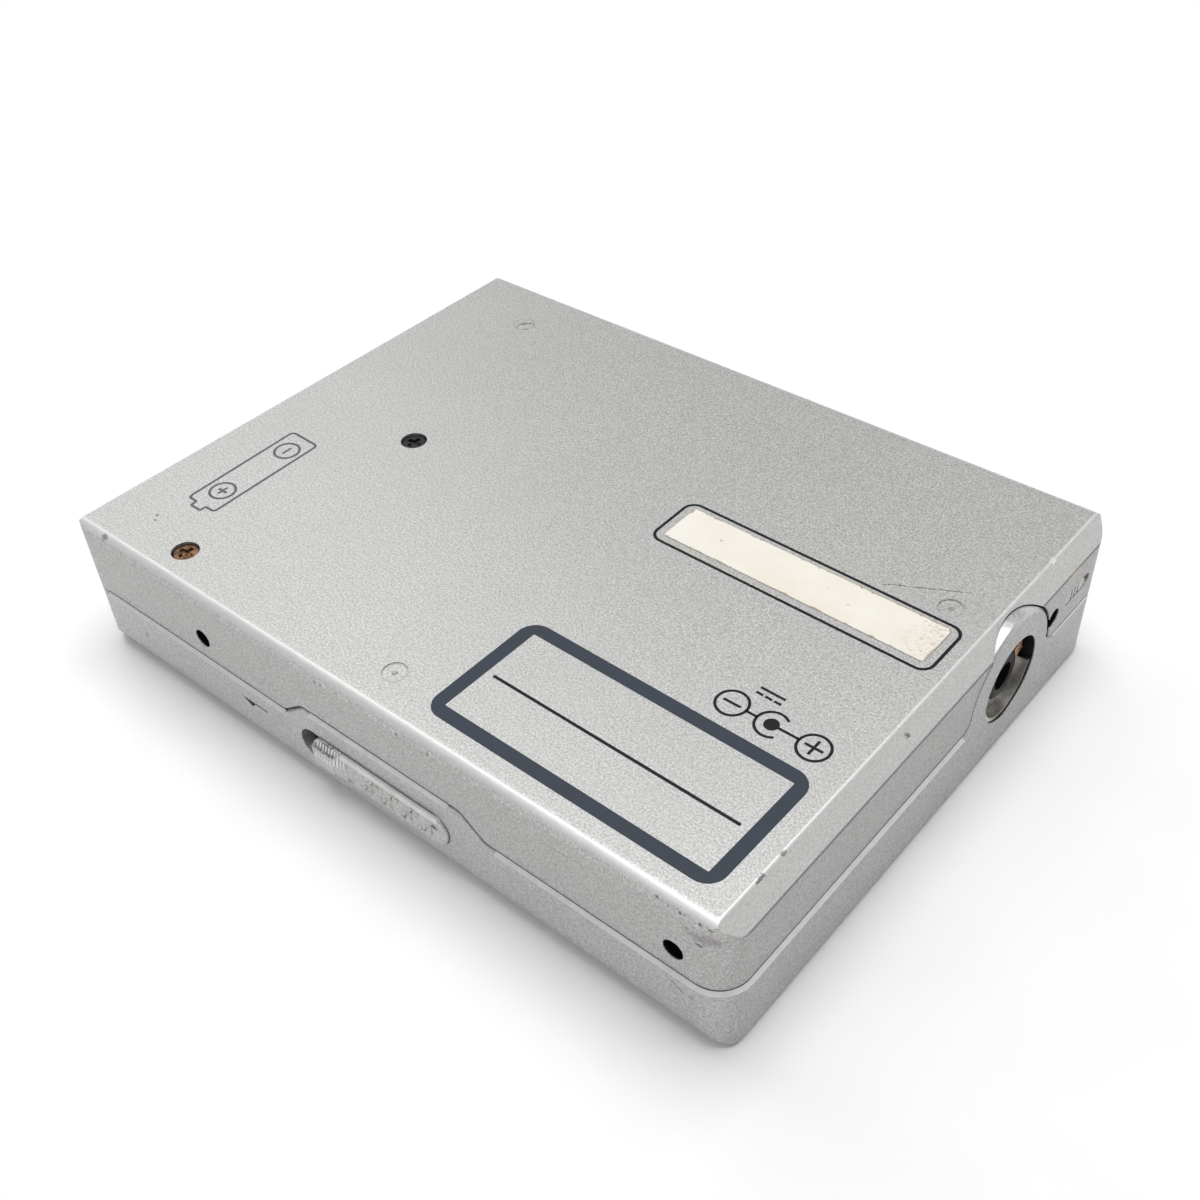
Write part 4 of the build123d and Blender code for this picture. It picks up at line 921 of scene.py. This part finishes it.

# Wear, dirt and some painted shade: place and half size in millimetres, turn in degrees, tint and how
# strong
brown_dirt = (0.28, 0.21, 0.14)
plum_stain = (0.26, 0.21, 0.22)
sand_stain = (0.58, 0.50, 0.38)
bare_metal = (0.95, 0.95, 0.94)
unturned = (0, 0, 0)
edge_chips = ((43.2, 0.3), (44.5, 0.22), (45.8, 0.36), (46.3, 0.2), (48.2, 0.3), (49.2, 0.4))
wall_speck_xs = (-4.7, -3.8, 8.3, 12.9)
pip_dirt_and_shadow_tints = (brown_dirt, brown_dirt, grime_and_shade, grime_and_shade) * 2
cover_wear = (
    [((x, -38.6, 19.7), (r, 0.4, 0.4 * r), (0, 20, 0), grime_and_shade, 0.9) for x, r in edge_chips]
    + [((x, -38.9, 19.2), (0.2, 0.4, 0.2), unturned, grime_and_shade, 0.75) for x in wall_speck_xs]
    + [
        ((48.6, -38.6, 18.0), (2.2, 1.6, 0.8), unturned, plum_stain, 0.55),
        ((48.2, -39.0, 16.9), (0.4, 0.6, 0.2), unturned, grime_and_shade, 0.9),
        ((31.1, -39.0, 17.2), (3.2, 0.3, 0.07), (0, -5.5, 0), grime_and_shade, 0.45),
        ((36.9, 11.55, 20.5), (1.3, 0.1, 0.3), (0, 0, 34), grime_and_shade, 0.9),
        ((41.4, 13.95, 20.5), (4.9, 0.09, 0.3), (0, 0, 27.8), grime_and_shade, 0.8),
        ((50.4, -6.6, 19.4), (0.4, 0.35, 0.4), unturned, grime_and_shade, 0.8),
        ((-42.2, -31.9, 20.5), (0.3, 0.25, 0.3), unturned, grime_and_shade, 0.7),
        ((-41.6, -32.7, 20.5), (0.25, 0.2, 0.3), unturned, grime_and_shade, 0.7),
        ((-44.3, -38.3, 20.0), (0.6, 0.6, 0.4), unturned, grime_and_shade, 0.6),
        ((49.65, -31.5, 20.4), (0.35, 0.7, 0.3), unturned, grime_and_shade, 0.7),
        ((49.65, -27.8, 20.4), (0.3, 0.5, 0.3), unturned, grime_and_shade, 0.6),
        ((49.6, 26.6, 20.4), (0.4, 0.6, 0.3), unturned, bare_metal, 0.9),
        ((51.2, 29.2, 17.6), (0.9, 1.3, 1.0), unturned, sand_stain, 0.5),
    ]
)
frame_wear = (
    ((45.6, -39.0, 7.8), (1.0, 0.3, 0.1), (0, 29, 0), grime_and_shade, 0.95),
    ((47.2, -39.0, 7.5), (0.4, 0.3, 0.09), (0, 5, 0), grime_and_shade, 0.8),
    ((-40.7, -39.0, 6.3), (0.4, 0.4, 0.35), unturned, brown_dirt, 0.8),
    ((-35.0, -39.0, 2.2), (0.9, 0.5, 0.4), unturned, grime_and_shade, 0.4),
)
slider_wear = (
    ((-5.1, -39.4, 5.65), (1.1, 0.6, 0.08), (0, 23, 0), grime_and_shade, 0.9),
    # Painted shade on the grip between its ribs.
    ((-4.6, -39.7, 8.75), (3.0, 1.2, 0.55), unturned, grime_and_shade, 0.75),
    ((-1.7, -39.4, 5.4), (0.5, 0.6, 0.25), unturned, grime_and_shade, 0.6),
    # Below each pip: dirt, and painted shadow under the pip.
    *(
        ((x, -39.5, z - 0.3), (0.7, 0.6, 0.42), unturned, tint, 0.95)
        for (x, z), tint in zip(pip_places, pip_dirt_and_shadow_tints)
    ),
)

MATERIALS = {
    "silver_plastic": silver_paint(
        "silver_paint", (0.60, 0.60, 0.59), 0.88, cover_wear, chamfer=True, bores=screw_bores,
    ),
    "frame_plastic": silver_paint(
        "frame_paint", (0.565, 0.565, 0.56), 0.6, frame_wear, bores=jack_bores,
    ),
    "slider_plastic": silver_paint(
        "slider_paint", (0.64, 0.64, 0.63), 0.9, slider_wear, crevice_shade=False,
    ),
    "black_plastic": dark_plastic("black_moulding", (0.005, 0.005, 0.006), 0.5, 0.15),
    "nickel": plated_metal("nickel_plate", (0.62, 0.60, 0.56), 0.38, 6.0),
    "copper_alloy": plated_metal("copper_strip", (0.72, 0.42, 0.24), 0.3),
    "sheet_steel": plated_metal("zinc_sheet", (0.70, 0.70, 0.71), 0.36, 0.4, 0.86),
    "bright_steel": plated_metal("ground_steel", (0.68, 0.68, 0.69), 0.2),
    "copper_screw": plated_screws("screw_plating"),
    "black_screw": dark_plastic("black_oxide", (0.004, 0.004, 0.005), 0.55, 0.15),
    "motor_can": plated_metal("motor_shell", (0.64, 0.64, 0.65), 0.3, 1.0, 0.8),
    "circuit_board": circuit_mask("solder_mask"),
    "chip_plastic": dark_plastic("chip_moulding", (0.016, 0.016, 0.018)),
    "rubber_damper": dark_plastic("soft_rubber", (0.014, 0.014, 0.014), 0.7),
    "lens_glass": coated_glass("lens_coating"),
    "sled_plastic": dark_plastic("sled_moulding", (0.035, 0.035, 0.04), 0.5),
}


def dress_nodes():
    """Gives each piece of the player the material of its slot."""
    for item in record["subparts"]:
        piece = nodes[item["node"]]
        piece.data.materials.clear()
        piece.data.materials.append(MATERIALS[item["material_slot"]])


# The floor in metres, the light it shows by itself, and how fast it fades on each side
floor_middle = 1.0
floor_size = 2.0
floor_bend = 0.8
floor_steps = 8
floor_lift = 0.085
fade_start = 6 * mm
fade_end = 22 * mm
right_pace = 0.25
back_pace = 0.5


def floor_paper():
    """White paper that keeps the shadow near the player and turns plain white further out."""
    s = Shader("white_floor")
    path = s.tree.nodes.new("ShaderNodeLightPath")
    seen = s.math("MAXIMUM", path.outputs["Is Camera Ray"], path.outputs["Is Glossy Ray"])
    seen = s.math("MAXIMUM", seen, path.outputs["Is Transmission Ray"])
    tone = s.mix(s.ramp(s.noise(60, 3), 0.3, 0.7), (0.92, 0.92, 0.925), (0.94, 0.94, 0.94))
    diffuse = s.node("ShaderNodeBsdfDiffuse", {"Color": tone}).outputs[0]
    lift = s.node("ShaderNodeEmission", {"Strength": s.times(seen, floor_lift)}).outputs[0]
    near = s.node("ShaderNodeAddShader", {0: diffuse, 1: lift}).outputs[0]
    plain = s.node("ShaderNodeEmission", {"Strength": 1.0}).outputs[0]
    x, y, _ = s.axes(s.coords)
    sides = []
    for axis, half, pace in ((x, half_x, right_pace), (y, half_y, back_pace)):
        above = s.math("MAXIMUM", s.less(axis, half), 0.0)
        below = s.math("MAXIMUM", s.less(-half, axis), 0.0)
        sides.append(s.math("ADD", s.times(above, pace), below))
    away = s.node("ShaderNodeCombineXYZ", {0: sides[0], 1: sides[1]}).outputs[0]
    fade = s.times(s.ramp(s.length(away), fade_start, fade_end), seen)
    return s.show(s.node("ShaderNodeMixShader", {0: fade, 1: near, 2: plain}).outputs[0])


def make_floor():
    """A round floor that turns up far out."""
    profile = [(floor_middle, 0.0)]
    for step in range(floor_steps + 1):
        turn = math.pi / 2 * step / floor_steps
        profile.append((floor_size + floor_bend * math.sin(turn), floor_bend * (1 - math.cos(turn))))
    shape = bmesh.new()
    rings = [
        [shape.verts.new((u, v, height)) for u, v in circle(0, 0, radius)]
        for radius, height in profile
    ]
    shape.faces.new(rings[0])
    for inner, outer in zip(rings, rings[1:]):
        for n in range(len(inner)):
            shape.faces.new((inner[n - 1], outer[n - 1], outer[n], inner[n]))
    floor = add_mesh("floor", shape, floor_paper())


# Light: each lamp's name, place, size and power, in metres and watts
sky_light = 0.18
LAMPS = (
    ("left_window", (-0.46, 0.12, 0.52), (0.5, 0.5), 1.02),
    ("overhead_panel", (0.05, 0.09, 0.9), (0.7, 0.7), 6.5),
    ("front_fill", (-0.1, -0.5, 0.7), (0.5, 0.5), 0.4),
)


def area_light(name, place, size, power):
    """A soft light that faces the player."""
    data = bpy.data.lights.new(name, "AREA")
    data.shape = "RECTANGLE"
    data.size, data.size_y = size
    data.energy = power
    lamp = bpy.data.objects.new(name, data)
    lamp.location = place
    lamp.rotation_euler = (-Vector(place)).to_track_quat("-Z", "Y").to_euler()
    scene.collection.objects.link(lamp)


def make_world():
    """An even white light from all round."""
    world = bpy.data.worlds.new("soft_white")
    world.use_nodes = True
    back = world.node_tree.nodes["Background"]
    back.inputs["Color"].default_value = (1.0, 1.0, 1.0, 1.0)
    back.inputs["Strength"].default_value = sky_light
    scene.world = world


scene.view_settings.view_transform = "Standard"
place_camera()
dress_nodes()
make_floor()
make_world()
for lamp in LAMPS:
    area_light(*lamp)

dark_ink = printed_ink("slate_ink", (0.040, 0.050, 0.068))
black_ink = printed_ink("black_ink", (0.007, 0.0075, 0.009))
shade_ink = printed_ink("seam_shade", (0.012, 0.011, 0.010))
rim_highlight_paint = edge_highlight_paint("worn_edge_highlight")
groove_shade_ink = printed_ink("groove_shade", (0.115, 0.13, 0.13))
draw_cell_mark(groove_shade_ink)
draw_polarity(black_ink)
draw_label_frames(dark_ink, black_ink)
draw_sticker()
draw_arrow(black_ink)
draw_seam(shade_ink, rim_highlight_paint)
draw_slider_marks(rim_highlight_paint)
draw_key_signs(black_ink)
